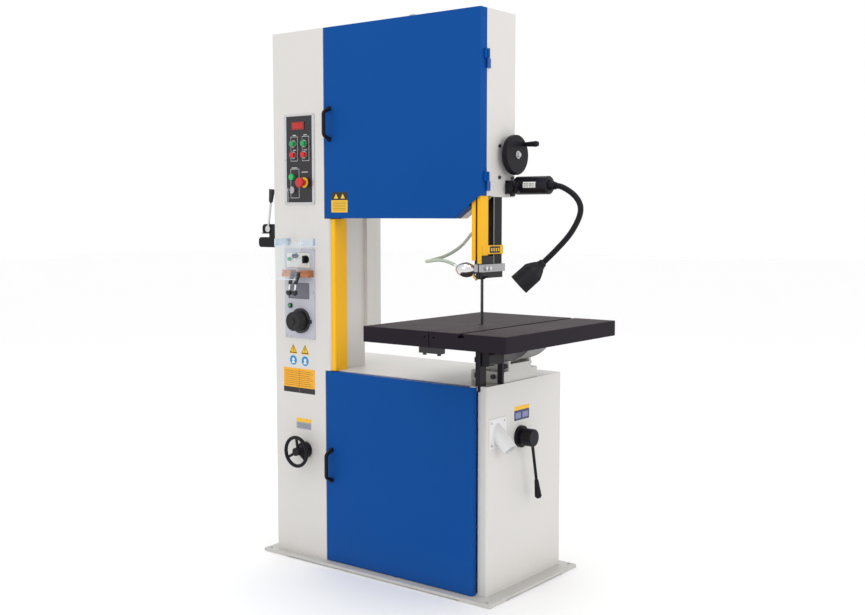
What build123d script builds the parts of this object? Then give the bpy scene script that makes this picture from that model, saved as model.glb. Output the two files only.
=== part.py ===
"""Vertical band saw with a box column, two wheels behind doors, tilting table and blade welder.

Millimetres. +Z is up, +X is to the right when facing the doors, and the doors face -Y.
The origin is the centre of the four anchor-bolt holes, at floor level.
"""
from build123d import *
import math
import os

os.makedirs("parts", exist_ok=True)

# ---- driving dimensions ------------------------------------------------------------
wheel_radius = 334.0          # outside of the tyre
wheel_width = 28.0
tyre_thickness = 7.0
blade_thickness = 0.9
blade_width = 18.0
blade_gap = 0.3               # between the tyre and the still blade band
column_width = 297.0
column_depth = 200.0
column_wall = 5.0
cabinet_depth = 519.0
cabinet_wall = 3.0
throat_height = 584.0         # from the cabinet's top to the head's underside
head_box_depth = 131.5
head_box_wall = 4.0
wheel_box_wall = 2.5
door_sheet = 1.5
upper_door_depth = 40.0
lower_door_depth = 27.0
door_gap = 2.0                # round a closed door
chamfer_run = 110.0           # cut corner of the head, along X
chamfer_rise = 79.0           # and along Z
base_plate_thick = 10.0
pad_height = 4.0
pad_x = 129.0
pad_y = 108.0
anchor_radius = 7.0
anchor_inset_x = 23.0
anchor_inset_y = 17.0
table_width = 588.0
table_depth = 702.0
table_thick = 54.0
table_rise = 217.5            # table top above the cabinet's top
table_left_of_blade = 284.0
table_back = 184.5
mitre_offset = 130.0          # mitre slot's middle, to the right of the blade
post_size = 50.0
post_length = 690.0
post_clearance = 0.2
rack_module = 3.0
pinion_teeth = 14
shaft_clearance = 0.05        # radial, for everything that turns in a bore
body_gap = 0.3                # between curved faces of different bodies

# ---- places that follow from them --------------------------------------------------
wheel_to_column = 10.0
blade_to_head_side = 20.25
cabinet_past_head = 16.0
base_left_margin = 44.0
base_right_margin = 54.0
base_front_margin = 33.0
base_back_margin = 34.0
blade_offset = wheel_radius + blade_gap + blade_thickness / 2
base_width = (base_left_margin + column_width + wheel_to_column + wheel_radius + blade_offset
              + blade_to_head_side + cabinet_past_head + base_right_margin)
base_depth = base_front_margin + cabinet_depth + base_back_margin
base_top = pad_height + base_plate_thick
column_left = base_left_margin - base_width / 2
column_right = column_left + column_width
wheel_x = column_right + wheel_to_column + wheel_radius
blade_x = wheel_x + blade_offset
blade_left_x = wheel_x - blade_offset
head_right = blade_x + blade_to_head_side
cabinet_right = head_right + cabinet_past_head
front_y = base_front_margin - base_depth / 2
column_back = front_y + column_depth
cabinet_back = front_y + cabinet_depth
cabinet_front = front_y + lower_door_depth
wheel_box_front = front_y + upper_door_depth + 0.5
wheel_y = front_y + 43.0
wheel_box_back = front_y + 81.5
head_back = wheel_box_back + head_box_depth
cabinet_height = 2 * wheel_radius + 80.0
head_height = 2 * wheel_radius + 46.0
cabinet_top = base_top + cabinet_height
head_bottom = cabinet_top + throat_height
head_top = head_bottom + head_height
lower_wheel_z = base_top + wheel_radius + 38.0
upper_wheel_z = head_top - wheel_radius - 24.0
door_left = column_right - 25.0
lower_door_right = cabinet_right - 44.0
partition_y = front_y + 120.0
table_top = cabinet_top + table_rise
table_bottom = table_top - table_thick
table_left = blade_x - table_left_of_blade
table_front = table_back - table_depth
head_box_bottom = head_bottom + chamfer_rise - 4.0
post_right = blade_x + 15.25
post_x = post_right - post_size / 2
post_y = wheel_box_back + 36.5
post_bottom = cabinet_top + 426.0
post_back = post_y + post_size / 2
pinion_radius = rack_module * pinion_teeth / 2
pinion_y = post_back + 6.5 + pinion_radius
crank_z = head_bottom + 222.0


# ---- plain shapes ------------------------------------------------------------------
def block(x0, x1, y0, y1, z0, z1):
    """Box between two corners."""
    return Pos((x0 + x1) / 2, (y0 + y1) / 2, (z0 + z1) / 2) * Box(x1 - x0, y1 - y0, z1 - z0)


def rod_x(y, z, radius, x0, x1):
    """Cylinder along X."""
    return Pos((x0 + x1) / 2, y, z) * Rot(0, 90, 0) * Cylinder(radius, x1 - x0)


def rod_y(x, z, radius, y0, y1):
    """Cylinder along Y."""
    return Pos(x, (y0 + y1) / 2, z) * Rot(90, 0, 0) * Cylinder(radius, y1 - y0)


def rod_z(x, y, radius, z0, z1):
    """Cylinder along Z."""
    return Pos(x, y, (z0 + z1) / 2) * Cylinder(radius, z1 - z0)


def ring_y(x, z, outer, inner, y0, y1):
    """Tube along Y."""
    return rod_y(x, z, outer, y0, y1) - rod_y(x, z, inner, y0 - 1, y1 + 1)


def rod_between(start, end, radius, end_radius=None):
    """Cylinder or cone from one point to another."""
    line = Vector(end) - Vector(start)
    plane = Plane(origin=Vector(start) + line * 0.5, z_dir=line)
    if end_radius is None:
        return plane * Cylinder(radius, line.length)
    return plane * Cone(radius, end_radius, line.length)


def prism_y(points, y0, y1, inset=0.0):
    """Extrude an outline of (x, z) points along Y, drawn in by inset."""
    face = make_face(Polyline(*[(x, y0, z) for x, z in points], close=True))
    if inset:
        face = offset(face, amount=-inset, kind=Kind.INTERSECTION)
    return extrude(face, amount=y1 - y0, dir=(0, 1, 0))


def prism_z(points, z0, z1, inset=0.0):
    """Extrude an outline of (x, y) points along Z, drawn in by inset."""
    face = make_face(Polyline(*[(x, y, z0) for x, y in points], close=True))
    if inset:
        face = offset(face, amount=-inset, kind=Kind.INTERSECTION)
    return extrude(face, amount=z1 - z0, dir=(0, 0, 1))


def round_edges(shape, axis, radius, keep):
    """Fillet the edges parallel to an axis whose middle passes the test keep."""
    edges = [edge for edge in shape.edges().filter_by(axis) if keep(edge.center())]
    return fillet(edges, radius)


def write(name, *shapes):
    """Write one node as its own STEP file, with each shape as its own solid."""
    solids = [solid for shape in shapes for solid in shape.solids()]
    export_step(solids[0] if len(solids) == 1 else Compound(solids), f"parts/{name}.step")


# ---- base, column, cabinet, head ---------------------------------------------------
def base_plate():
    half_x, half_y = base_width / 2, base_depth / 2
    plate = block(-half_x, half_x, -half_y, half_y, pad_height, base_top)
    plate = chamfer(plate.faces().sort_by(Axis.Z)[-1].edges(), 2.0)
    for side_x in (-1, 1):
        for side_y in (-1, 1):
            pad = Box(pad_x, pad_y, pad_height)
            plate += Pos(side_x * (half_x - pad_x / 2), side_y * (half_y - pad_y / 2), pad_height / 2) * pad
            hole_x = side_x * (half_x - anchor_inset_x)
            hole_y = side_y * (half_y - anchor_inset_y)
            plate -= rod_z(hole_x, hole_y, anchor_radius, -1, base_top + 1)
    return plate


speed_wheel_x = column_left + 163.0
speed_wheel_z = base_top + 424.0
speed_shaft_radius = 10.0


def column():
    """Box tube with a step down its front right corner for each door, and a rounded corner between."""
    lower_notch_top = cabinet_top - 1.0
    upper_notch_bottom = head_bottom - door_gap
    shell = block(column_left, column_right, front_y, column_back, base_top, head_top)
    hollow = block(column_left + column_wall, column_right - column_wall, front_y + column_wall,
                   column_back - column_wall, base_top, head_top - column_wall)
    for depth, z0, z1 in ((lower_door_depth, base_top, lower_notch_top),
                          (upper_door_depth, upper_notch_bottom, head_top)):
        notch = (door_left - door_gap, column_right, front_y, front_y + depth + 1.0, z0, z1)
        shell -= block(*notch)
        hollow -= block(notch[0] - column_wall, notch[1], notch[2], notch[3] + column_wall,
                        z0 - column_wall, z1 + column_wall)
    gap_middle = (lower_notch_top + upper_notch_bottom) / 2
    shell = round_edges(shell, Axis.Z, 12.0, lambda c: c.X > column_right - 1 and c.Y < front_y + 1
                        and abs(c.Z - gap_middle) < 5)
    shell = round_edges(shell, Axis.Z, 4.0, lambda c: c.X < column_left + 1)
    tube = shell - hollow
    tube += rod_y(speed_wheel_x, speed_wheel_z, 20.0, front_y + column_wall, front_y + 40.0)
    tube -= rod_y(weld_button_x, weld_controls_z, weld_stem_radius + 1,
                  front_y - 1, front_y + column_wall + 1)
    return tube - rod_y(speed_wheel_x, speed_wheel_z, speed_shaft_radius + shaft_clearance,
                        front_y - 1, front_y + 41.0)


chute_y = front_y + 90.0
chute_z = base_top + 578.0
chute_radius = 27.0
shift_y = front_y + 235.0
shift_z = base_top + 544.0
shift_shaft_radius = 8.0
drive_shaft_radius = 22.0
blade_slot = 7.0


def lower_cabinet():
    """Folded sheet cabinet, L-shaped in plan round the column, open to the lower door."""
    outline = [(column_right, cabinet_front), (cabinet_right, cabinet_front), (cabinet_right, cabinet_back),
               (column_left, cabinet_back), (column_left, column_back), (column_right, column_back)]
    shell = prism_z(outline, base_top, cabinet_top)
    shell = round_edges(shell, Axis.Z, 8.0, lambda c: c.X > cabinet_right - 1)
    shell -= prism_z(outline, base_top, cabinet_top - cabinet_wall, inset=cabinet_wall)
    shell += block(column_right + cabinet_wall, cabinet_right - cabinet_wall, partition_y - cabinet_wall,
                   partition_y, base_top, cabinet_top - cabinet_wall)
    shell -= block(column_right - 1, lower_door_right + 5, cabinet_front - 1,
                   cabinet_front + cabinet_wall + 1, base_top + 6, cabinet_top - 15)
    for x in (blade_left_x, blade_x):
        shell -= block(x - blade_slot, x + blade_slot, wheel_y - 16, wheel_y + 16,
                       cabinet_top - 20, cabinet_top + 1)
    shell -= rod_y(wheel_x, lower_wheel_z, drive_shaft_radius + 8, partition_y - 10, partition_y + 10)
    shell -= rod_x(chute_y, chute_z, chute_radius + 6, cabinet_right - 10, cabinet_right + 1)
    shaft_bore = shift_shaft_radius + shaft_clearance
    shell -= rod_x(shift_y, shift_z, shaft_bore, cabinet_right - 10, cabinet_right + 1)
    return shell


def head_outline():
    """Corners of the head seen from the front, from the column's side round to the cut corner."""
    return [(head_right - chamfer_run, head_bottom), (head_right, head_bottom + chamfer_rise),
            (head_right, head_top)]


guard_left = blade_x - 19.75
guard_swing_room = 10.0       # beside the guard, for the upper door's swing
guard_right = blade_x + 16.75
guard_front = front_y + 9.0
guard_back = wheel_y + 13.0
axle_radius = 20.0
tension_travel = 15.0
carriage_x = 62.0
pinion_width = 20.0
rack_width = 20.0
crank_shaft_radius = 9.0


def post_hole(z0, z1):
    """Room for the guide post and the rack on its back."""
    half = post_size / 2 + post_clearance
    return (block(post_x - half, post_x + half, post_y - half, post_y + half, z0, z1)
            + block(post_x - rack_width / 2 - 1, post_x + rack_width / 2 + 1, post_y, post_back + 14, z0, z1))


def head_housing():
    """Wheel box in front, structural box behind it, and the guide post's slideway inside."""
    outline = [(column_right, head_bottom)] + head_outline() + [(column_right, head_top)]
    wheel_box = prism_y(outline, wheel_box_front, wheel_box_back)
    wheel_box -= prism_y(outline, wheel_box_front, wheel_box_back - wheel_box_wall, inset=wheel_box_wall)
    inner_back = wheel_box_back - wheel_box_wall
    wheel_box -= block(guard_left - 3, head_right - wheel_box_wall, wheel_box_front - 1, inner_back,
                       head_bottom - 1, head_bottom + chamfer_rise + 6)
    wheel_box -= block(blade_left_x - 7, blade_left_x + 10, wheel_box_front - 1, inner_back,
                       head_bottom - 1, head_bottom + 10)
    rear = block(column_right, head_right, wheel_box_back, head_back, head_box_bottom, head_top)
    rear -= block(column_right + head_box_wall, head_right - head_box_wall, wheel_box_back + head_box_wall,
                  head_back - head_box_wall, head_box_bottom + head_box_wall, head_top - head_box_wall)
    slideway = block(post_x - post_size / 2 - 12, head_right - head_box_wall, wheel_box_back + head_box_wall,
                     post_back + 10, head_box_bottom + head_box_wall, head_box_bottom + 236)
    head = wheel_box + rear + slideway
    head -= post_hole(head_box_bottom - 1, head_box_bottom + 240)
    head -= block(post_x - pinion_width / 2 - 1, post_x + pinion_width / 2 + 1, post_back, post_back + 12,
                  crank_z - 30, crank_z + 30)
    head -= rod_x(pinion_y, crank_z, crank_shaft_radius + shaft_clearance, head_right - 10, head_right + 1)
    slot = block(wheel_x - axle_radius - 2, wheel_x + axle_radius + 2, inner_back - 1,
                 wheel_box_back + head_box_wall + 1, upper_wheel_z - axle_radius - 2 - tension_travel,
                 upper_wheel_z + axle_radius + 2)
    return head - slot


# ---- wheels, blade and drive -------------------------------------------------------
hub_radius = 55.0
hub_front = wheel_y - 23.0
hub_back = wheel_y + 27.0
rim_thickness = 24.0
bearing_radius = 40.0


def wheel(z, bore):
    """Cast wheel: rim, thin web with round windows, and a hub."""
    rim_outer = wheel_radius - tyre_thickness
    half = wheel_width / 2
    body = ring_y(wheel_x, z, rim_outer, rim_outer - rim_thickness, wheel_y - half, wheel_y + half)
    web = rod_y(wheel_x, z, rim_outer - rim_thickness + 2, wheel_y - 5, wheel_y + 5)
    for step in range(6):
        angle = math.radians(60 * step + 30)
        reach = (hub_radius + rim_outer - rim_thickness) / 2
        window = reach * math.sin(math.radians(30)) - 18
        web -= rod_y(wheel_x + reach * math.cos(angle), z + reach * math.sin(angle), window,
                     wheel_y - 6, wheel_y + 6)
    body += web
    body += rod_y(wheel_x, z, hub_radius, hub_front, hub_back)
    return body - rod_y(wheel_x, z, bore, hub_front - 1, hub_back + 1)


def tyre(z):
    half = wheel_width / 2 - 2
    return ring_y(wheel_x, z, wheel_radius, wheel_radius - tyre_thickness, wheel_y - half, wheel_y + half)


def tension_carriage():
    """Sliding block behind the wheel box, its fixed axle, and the two bearings on the axle."""
    slide = block(wheel_x - carriage_x, wheel_x + carriage_x, wheel_box_back + head_box_wall + 1,
                  head_back - head_box_wall - 40, upper_wheel_z - 90, upper_wheel_z + 90)
    slide -= block(wheel_x - carriage_x + 14, wheel_x + carriage_x - 14, wheel_box_back + head_box_wall + 30,
                   head_back, upper_wheel_z - 70, upper_wheel_z + 70)
    axle = rod_y(wheel_x, upper_wheel_z, axle_radius, hub_front - 6, wheel_box_back + head_box_wall + 1)
    bearings = [ring_y(wheel_x, upper_wheel_z, bearing_radius, axle_radius, y, y + 15)
                for y in (hub_front + 3, hub_back - 18)]
    nut = ring_y(wheel_x, upper_wheel_z, 28.0, axle_radius, hub_front - 5, hub_front + 2)
    return [slide + axle] + bearings + [nut]


def blade():
    """Endless band round both wheels, standing clear of the tyres by the blade gap."""
    def loop(radius, y0, y1):
        ends = rod_y(wheel_x, lower_wheel_z, radius, y0, y1) + rod_y(wheel_x, upper_wheel_z, radius, y0, y1)
        return ends + block(wheel_x - radius, wheel_x + radius, y0, y1, lower_wheel_z, upper_wheel_z)
    inner = wheel_radius + blade_gap
    half = blade_width / 2
    return (loop(inner + blade_thickness, wheel_y - half, wheel_y + half)
            - loop(inner, wheel_y - half - 1, wheel_y + half + 1))


gearbox_back = front_y + 270.0
input_z = lower_wheel_z + 84.0
pulley_y0 = gearbox_back + 4.0
pulley_width = 32.0
gearbox_pulley_radius = 75.0
motor_x = wheel_x - 250.0
motor_radius = 95.0
motor_z = base_top + 120.0
motor_pulley_radius = 42.0
motor_front = pulley_y0 + pulley_width + 14.0
motor_back = cabinet_back - cabinet_wall - 12.0
input_shaft_radius = 14.0
groove_depth = 9.0


def gearbox():
    body = block(wheel_x - 80, wheel_x + 80, partition_y, gearbox_back, lower_wheel_z - 76, shift_z + 24)
    body = round_edges(body, Axis.Y, 18.0, lambda c: True)
    nose = rod_y(wheel_x, lower_wheel_z, drive_shaft_radius + 8, partition_y - 22, partition_y)
    body += nose
    body -= rod_y(wheel_x, lower_wheel_z, drive_shaft_radius + shaft_clearance, partition_y - 23,
                  partition_y + 90)
    body -= rod_y(wheel_x, input_z, input_shaft_radius + shaft_clearance, gearbox_back - 60, gearbox_back + 1)
    return body - rod_x(shift_y, shift_z, shift_shaft_radius + shaft_clearance, wheel_x + 50, wheel_x + 90)


def pulley(x, z, radius):
    """Pulley with one V groove that takes the belt."""
    y0, y1 = pulley_y0, pulley_y0 + pulley_width
    middle = (y0 + y1) / 2
    profile = Polyline((0, y0), (radius, y0), (radius, middle - 10), (radius - groove_depth - 2, middle - 5),
                       (radius - groove_depth - 2, middle + 5), (radius, middle + 10), (radius, y1), (0, y1),
                       close=True)
    solid = revolve(make_face(profile), Axis.Y)
    return Pos(x, 0, z) * solid


def drive_belt():
    """V-belt as an open-section loop that lies in both grooves without touching them."""
    middle = pulley_y0 + pulley_width / 2

    def hull(inset):
        big = gearbox_pulley_radius - inset
        small = motor_pulley_radius - inset
        dx, dz = motor_x - wheel_x, motor_z - input_z
        reach = math.hypot(dx, dz)
        lean = math.acos((big - small) / reach)
        heading = math.atan2(dz, dx)
        corners = []
        for side in (1, -1):
            turn = heading + side * lean
            corners.append((wheel_x + big * math.cos(turn), input_z + big * math.sin(turn)))
            corners.append((motor_x + small * math.cos(turn), motor_z + small * math.sin(turn)))
        outline = [corners[0], corners[1], corners[3], corners[2]]
        y0, y1 = (middle - 7, middle + 7) if inset < 3 else (middle - 8, middle + 8)
        return (prism_y(outline, y0, y1) + rod_y(wheel_x, input_z, big, y0, y1)
                + rod_y(motor_x, motor_z, small, y0, y1))
    return hull(1.0) - hull(5.0)


def motor():
    """Foot-mounted motor with cooling ribs and a terminal box."""
    body = rod_y(motor_x, motor_z, motor_radius - 8, motor_front, motor_back - 30)
    for step in range(24):
        rib = block(-1.5, 1.5, motor_front + 15, motor_back - 40, motor_radius - 12, motor_radius)
        body += Pos(motor_x, 0, motor_z) * Rot(0, 15 * step, 0) * rib
    body += rod_y(motor_x, motor_z, motor_radius - 2, motor_back - 30, motor_back)
    foot_top = motor_z - motor_radius + 14
    body += block(motor_x - 80, motor_x + 80, motor_front + 20, motor_back - 40, base_top, foot_top)
    body += block(motor_x - 30, motor_x + 30, motor_front + 40, motor_front + 110,
                  motor_z + motor_radius - 14, motor_z + motor_radius + 36)
    return body - rod_y(motor_x, motor_z, input_shaft_radius + shaft_clearance, motor_front - 1,
                        motor_front + 40)


# ---- doors -------------------------------------------------------------------------
hinge_reach = 6.5
knuckle_radius = 6.0
pin_radius = 3.0
upper_hinge_x = head_right + hinge_reach
upper_hinge_y = front_y + 38.0
upper_hinge_tops = (head_top - 138.0, head_bottom + 160.0)
knuckle_height = 32.0


def knuckle(x, y, z0, z1, bore, leaf):
    """Hinge knuckle and its leaf, leaf being the (x0, x1, y0, y1) of the plate."""
    tube = rod_z(x, y, knuckle_radius, z0, z1) + block(*leaf, z0, z1)
    return tube - rod_z(x, y, bore, z0 - 1, z1 + 1)


def upper_door():
    """Pan door with a cut corner, notched for the blade and the blade guard."""
    outline = [(door_left, head_bottom)] + head_outline() + [(door_left, head_top)]
    back = front_y + upper_door_depth
    pan = prism_y(outline, front_y, back)
    pan = chamfer(pan.faces().sort_by(Axis.Y)[0].edges(), 1.0)
    pan -= prism_y(outline, front_y + door_sheet, back + 1, inset=door_sheet)
    pan -= block(guard_left - guard_swing_room, head_right - door_sheet, front_y + door_sheet, back + 1,
                 head_bottom - 1, head_bottom + chamfer_rise + 4)
    pan -= block(blade_left_x - 8, blade_left_x + 11, front_y + door_sheet + 6, back + 1,
                 head_bottom - 1, head_bottom + 5)
    for top in upper_hinge_tops:
        pan += knuckle(upper_hinge_x, upper_hinge_y, top - knuckle_height, top, pin_radius + shaft_clearance,
                       (head_right, upper_hinge_x, upper_hinge_y - 18, upper_hinge_y - 2))
    return pan


lower_pivot_x = lower_door_right - 7.0
lower_pivot_y = front_y + 14.0
lower_door_bottom = base_top + 2.0
lower_door_top = cabinet_top - 3.0
pivot_radius = 4.0


def lower_door():
    """Pan door that turns on a pin at its top and bottom right corners.

    Its rim is lower beside the pin, to clear the cabinet as it swings.
    """
    back = front_y + lower_door_depth - 0.5
    pan = block(door_left, lower_door_right, front_y, back, lower_door_bottom, lower_door_top)
    pan = chamfer(pan.faces().sort_by(Axis.Y)[0].edges(), 1.0)
    pan -= block(door_left + door_sheet, lower_door_right - door_sheet, front_y + door_sheet, back + 1,
                 lower_door_bottom + door_sheet, lower_door_top - door_sheet)
    pan -= block(lower_pivot_x, lower_door_right + 1, back - 2.4, back + 1,
                 lower_door_bottom - 1, lower_door_top + 1)
    for z in (lower_door_bottom, lower_door_top - 6):
        pan += rod_z(lower_pivot_x, lower_pivot_y, 9.0, z, z + 6) & block(
            lower_pivot_x - 9, lower_door_right, front_y, back, z, z + 6)
        pan -= rod_z(lower_pivot_x, lower_pivot_y, pivot_radius + shaft_clearance, z - 1, z + 7)
    return pan


handle_x = door_left + 29.0
handle_grip = 7.0
handle_reach = 40.0


def bow_handle(z_middle, length):
    """Moulded bow handle with an oval grip and two round feet."""
    half = length / 2 - handle_grip
    y = front_y - handle_reach + handle_grip
    low, high = z_middle - half, z_middle + half
    path = FilletPolyline((handle_x, front_y, low), (handle_x, y, low + 14), (handle_x, y, high - 14),
                          (handle_x, front_y, high), radius=14)
    bar = sweep(Plane(origin=path @ 0, z_dir=path % 0) * Circle(handle_grip), path=path)
    for side in (-1, 1):
        bar += rod_y(handle_x, z_middle + side * half, handle_grip + 2, front_y - 8, front_y)
    return bar & block(handle_x - 50, handle_x + 50, front_y - 60, front_y, z_middle - 100, z_middle + 100)


electric_left = column_left + 6.0
electric_right = column_right + 15.0
electric_bottom = cabinet_top + 118.0
electric_top = head_box_bottom - 9.0
electric_split = column_back + 51.0
electric_back = electric_split + 34.0
electric_hinge_x = electric_left - hinge_reach
electric_hinge_y = electric_split + 2.5
electric_hinge_tops = (electric_top - 60.0, electric_bottom + 92.0)


def electrical_cabinet():
    shell = block(electric_left, electric_right, column_back, electric_split, electric_bottom, electric_top)
    shell -= block(electric_left + 2, electric_right - 2, column_back + 2, electric_split + 1,
                   electric_bottom + 2, electric_top - 2)
    for top in electric_hinge_tops:
        leaf = (electric_hinge_x, electric_left, electric_hinge_y - 14, electric_hinge_y - 4)
        shell += knuckle(electric_hinge_x, electric_hinge_y, top - 2 * knuckle_height - body_gap,
                         top - knuckle_height - body_gap, pin_radius, leaf)
    return shell


def electrical_door():
    y0 = electric_split + 0.5
    pan = block(electric_left, electric_right, y0, electric_back, electric_bottom, electric_top)
    pan = round_edges(pan, Axis.Z, 5.0, lambda c: c.Y > electric_back - 1)
    pan -= block(electric_left + 2, electric_right - 2, y0 - 1, electric_back - 2, electric_bottom + 2,
                 electric_top - 2)
    for top in electric_hinge_tops:
        leaf = (electric_hinge_x, electric_left, electric_hinge_y + 2, electric_hinge_y + 14)
        pan += knuckle(electric_hinge_x, electric_hinge_y, top - knuckle_height, top,
                       pin_radius + shaft_clearance, leaf)
    return pan


# ---- guards, guide post and upper guide --------------------------------------------
left_guard_face = column_right + 20.0
left_guard_front = front_y + 8.0
left_guard_back = front_y + 77.0


def left_blade_guard():
    """Channel screwed to the column's side, open to it, that covers the rising run of the blade."""
    y0, y1 = left_guard_front, left_guard_back
    z0, z1 = cabinet_top, head_bottom - 3.0
    channel = block(column_right, left_guard_face, y0, y1, z0, z1)
    channel = round_edges(channel, Axis.Z, 4.0, lambda c: c.X > left_guard_face - 1)
    channel -= block(column_right - 1, left_guard_face - 2, y0 + 2, y1 - 2, z0 - 1, z1 + 1)
    return channel + block(column_right, column_right + 2, y1 - 2, y1 + 14, z0, z1)


guard_sheet = 1.5
guard_bottom = post_bottom + 3.0
strap_z = post_bottom + 50.0
strap_half = 15.0


def upper_blade_guard():
    """Sheet channel round the working run, slit in front, with a strap that clamps it to the post."""
    top_left, top_right = guard_bottom + 221.0, guard_bottom + 389.0
    side_bottom = guard_bottom + 28.0
    slit = 4.0
    front_left = block(guard_left, blade_x - slit, guard_front, guard_front + guard_sheet,
                       guard_bottom + 10, top_right)
    side_left = block(guard_left, guard_left + guard_sheet, guard_front, guard_back,
                      guard_bottom + 10, top_left)
    front_right = block(blade_x + slit, guard_right, guard_front, guard_front + guard_sheet,
                        guard_bottom, top_right)
    side_right = block(guard_right - guard_sheet, guard_right, guard_front, guard_back,
                       side_bottom, top_right)
    side_right += block(guard_right - guard_sheet, guard_right, guard_front, guard_front + 8, guard_bottom,
                        side_bottom)
    bridge = block(guard_left, guard_right, guard_back - guard_sheet, guard_back, side_bottom, top_left)
    half = post_size / 2
    z0, z1 = strap_z - strap_half, strap_z + strap_half
    strap = block(post_x - half - 3, post_right + 3, post_y - half - 3, post_back + 3, z0, z1)
    strap -= block(post_x - half, post_right, post_y - half, post_back, z0 - 1, z1 + 1)
    for x0, x1 in ((guard_left, guard_left + 3), (guard_right - guard_sheet, post_right + 3)):
        strap += block(x0, x1, guard_back - guard_sheet, post_y - half - 2, z0, z1)
    strap += block(guard_right, post_right + 3, guard_front + 12, guard_back, z0, z1)
    return front_left + side_left + front_right + side_right + bridge + strap


def rack_teeth(z0, count):
    """Row of straight-sided teeth that stand out of the post's back, along +Y."""
    pitch = math.pi * rack_module
    root, tip = post_back + 3.0, post_back + 3.0 + 1.75 * rack_module
    flank = math.tan(math.radians(20))
    slope = (tip - root) * flank
    half_root = pitch / 4 + (pinion_y - pinion_radius - root) * flank - 0.1
    teeth = []
    for index in range(count):
        z = z0 + index * pitch
        outline = [(root - 1, z - half_root), (root, z - half_root), (tip, z - half_root + slope),
                   (tip, z + half_root - slope), (root, z + half_root), (root - 1, z + half_root)]
        face = make_face(Polyline(*[(post_x - rack_width / 2, y, w) for y, w in outline], close=True))
        teeth.append(extrude(face, amount=rack_width, dir=(1, 0, 0)))
    return teeth


rack_count = 40
rack_pitch = math.pi * rack_module
rack_start = crank_z - 19 * rack_pitch


def guide_post():
    half = post_size / 2
    post = block(post_x - half, post_right, post_y - half, post_back, post_bottom, post_bottom + post_length)
    post = round_edges(post, Axis.Z, 2.0, lambda c: True)
    back_z0 = rack_start - rack_pitch
    back_z1 = rack_start + rack_count * rack_pitch
    post += block(post_x - rack_width / 2, post_x + rack_width / 2, post_back - 1, post_back + 3,
                  back_z0, back_z1)
    for tooth in rack_teeth(rack_start, rack_count):
        post += tooth
    return post


def pinion():
    """Spur pinion with involute flanks, a tooth gap facing the rack, on its shaft."""
    pressure = math.radians(20)
    base = pinion_radius * math.cos(pressure)
    outer = pinion_radius + 0.8 * rack_module
    root = pinion_radius - 1.25 * rack_module
    backlash = 0.35
    half_tooth = math.pi / (2 * pinion_teeth) - backlash / (2 * pinion_radius)
    spread = math.tan(pressure) - pressure

    def flank(radius):
        lean = math.acos(min(1.0, base / radius))
        return half_tooth + spread - (math.tan(lean) - lean)
    radii = [max(base, root) + (outer - max(base, root)) * step / 6 for step in range(7)]
    points = []
    for tooth in range(pinion_teeth):
        middle = 2 * math.pi * (tooth + 0.5) / pinion_teeth + math.pi
        points.append((root, middle - flank(radii[0])))
        points += [(radius, middle - flank(radius)) for radius in radii]
        points += [(radius, middle + flank(radius)) for radius in reversed(radii)]
        points.append((root, middle + flank(radii[0])))
    x0 = post_x - pinion_width / 2
    outline = [(x0, pinion_y + r * math.cos(a), crank_z + r * math.sin(a)) for r, a in points]
    gear = extrude(make_face(Polyline(*outline, close=True)), amount=pinion_width, dir=(1, 0, 0))
    return gear + rod_x(pinion_y, crank_z, crank_shaft_radius, x0 - 8, head_right + 24)


crank_disc_radius = 70.0
crank_disc_x = head_right + 19.0
crank_disc_thick = 23.0
grip_arm_y = 38.0
grip_arm_z = 38.0
grip_pin_radius = 5.0
grip_radius = 10.0
grip_length = 58.0


def height_handwheel():
    """Solid disc handwheel with a dished face and a rounded rim."""
    x0, x1 = crank_disc_x, crank_disc_x + crank_disc_thick
    disc = rod_x(pinion_y, crank_z, crank_disc_radius, x0, x1)
    disc = fillet(disc.edges().filter_by(GeomType.CIRCLE), 6.0)
    disc += rod_x(pinion_y, crank_z, 20.0, head_right + 0.5, x0 + 2)
    disc -= rod_x(pinion_y, crank_z, crank_shaft_radius, head_right, x0 + 5)
    pin = rod_x(pinion_y + grip_arm_y, crank_z + grip_arm_z, grip_pin_radius, x1 - 2, x1 + grip_length - 8)
    return disc + pin


def crank_grip():
    y, z = pinion_y + grip_arm_y, crank_z + grip_arm_z
    x0 = crank_disc_x + crank_disc_thick + body_gap
    profile = Polyline((x0, 0), (x0, grip_radius - 3), (x0 + 10, grip_radius - 2),
                       (x0 + grip_length - 8, grip_radius + 0.5), (x0 + grip_length, grip_radius - 2),
                       (x0 + grip_length, 0), close=True)
    grip = Pos(0, y, z) * revolve(make_face(profile), Axis.X)
    return grip - rod_x(y, z, grip_pin_radius + shaft_clearance, x0 - 1, x0 + grip_length - 7)


guide_arm_left = guard_left + 2.0


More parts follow.
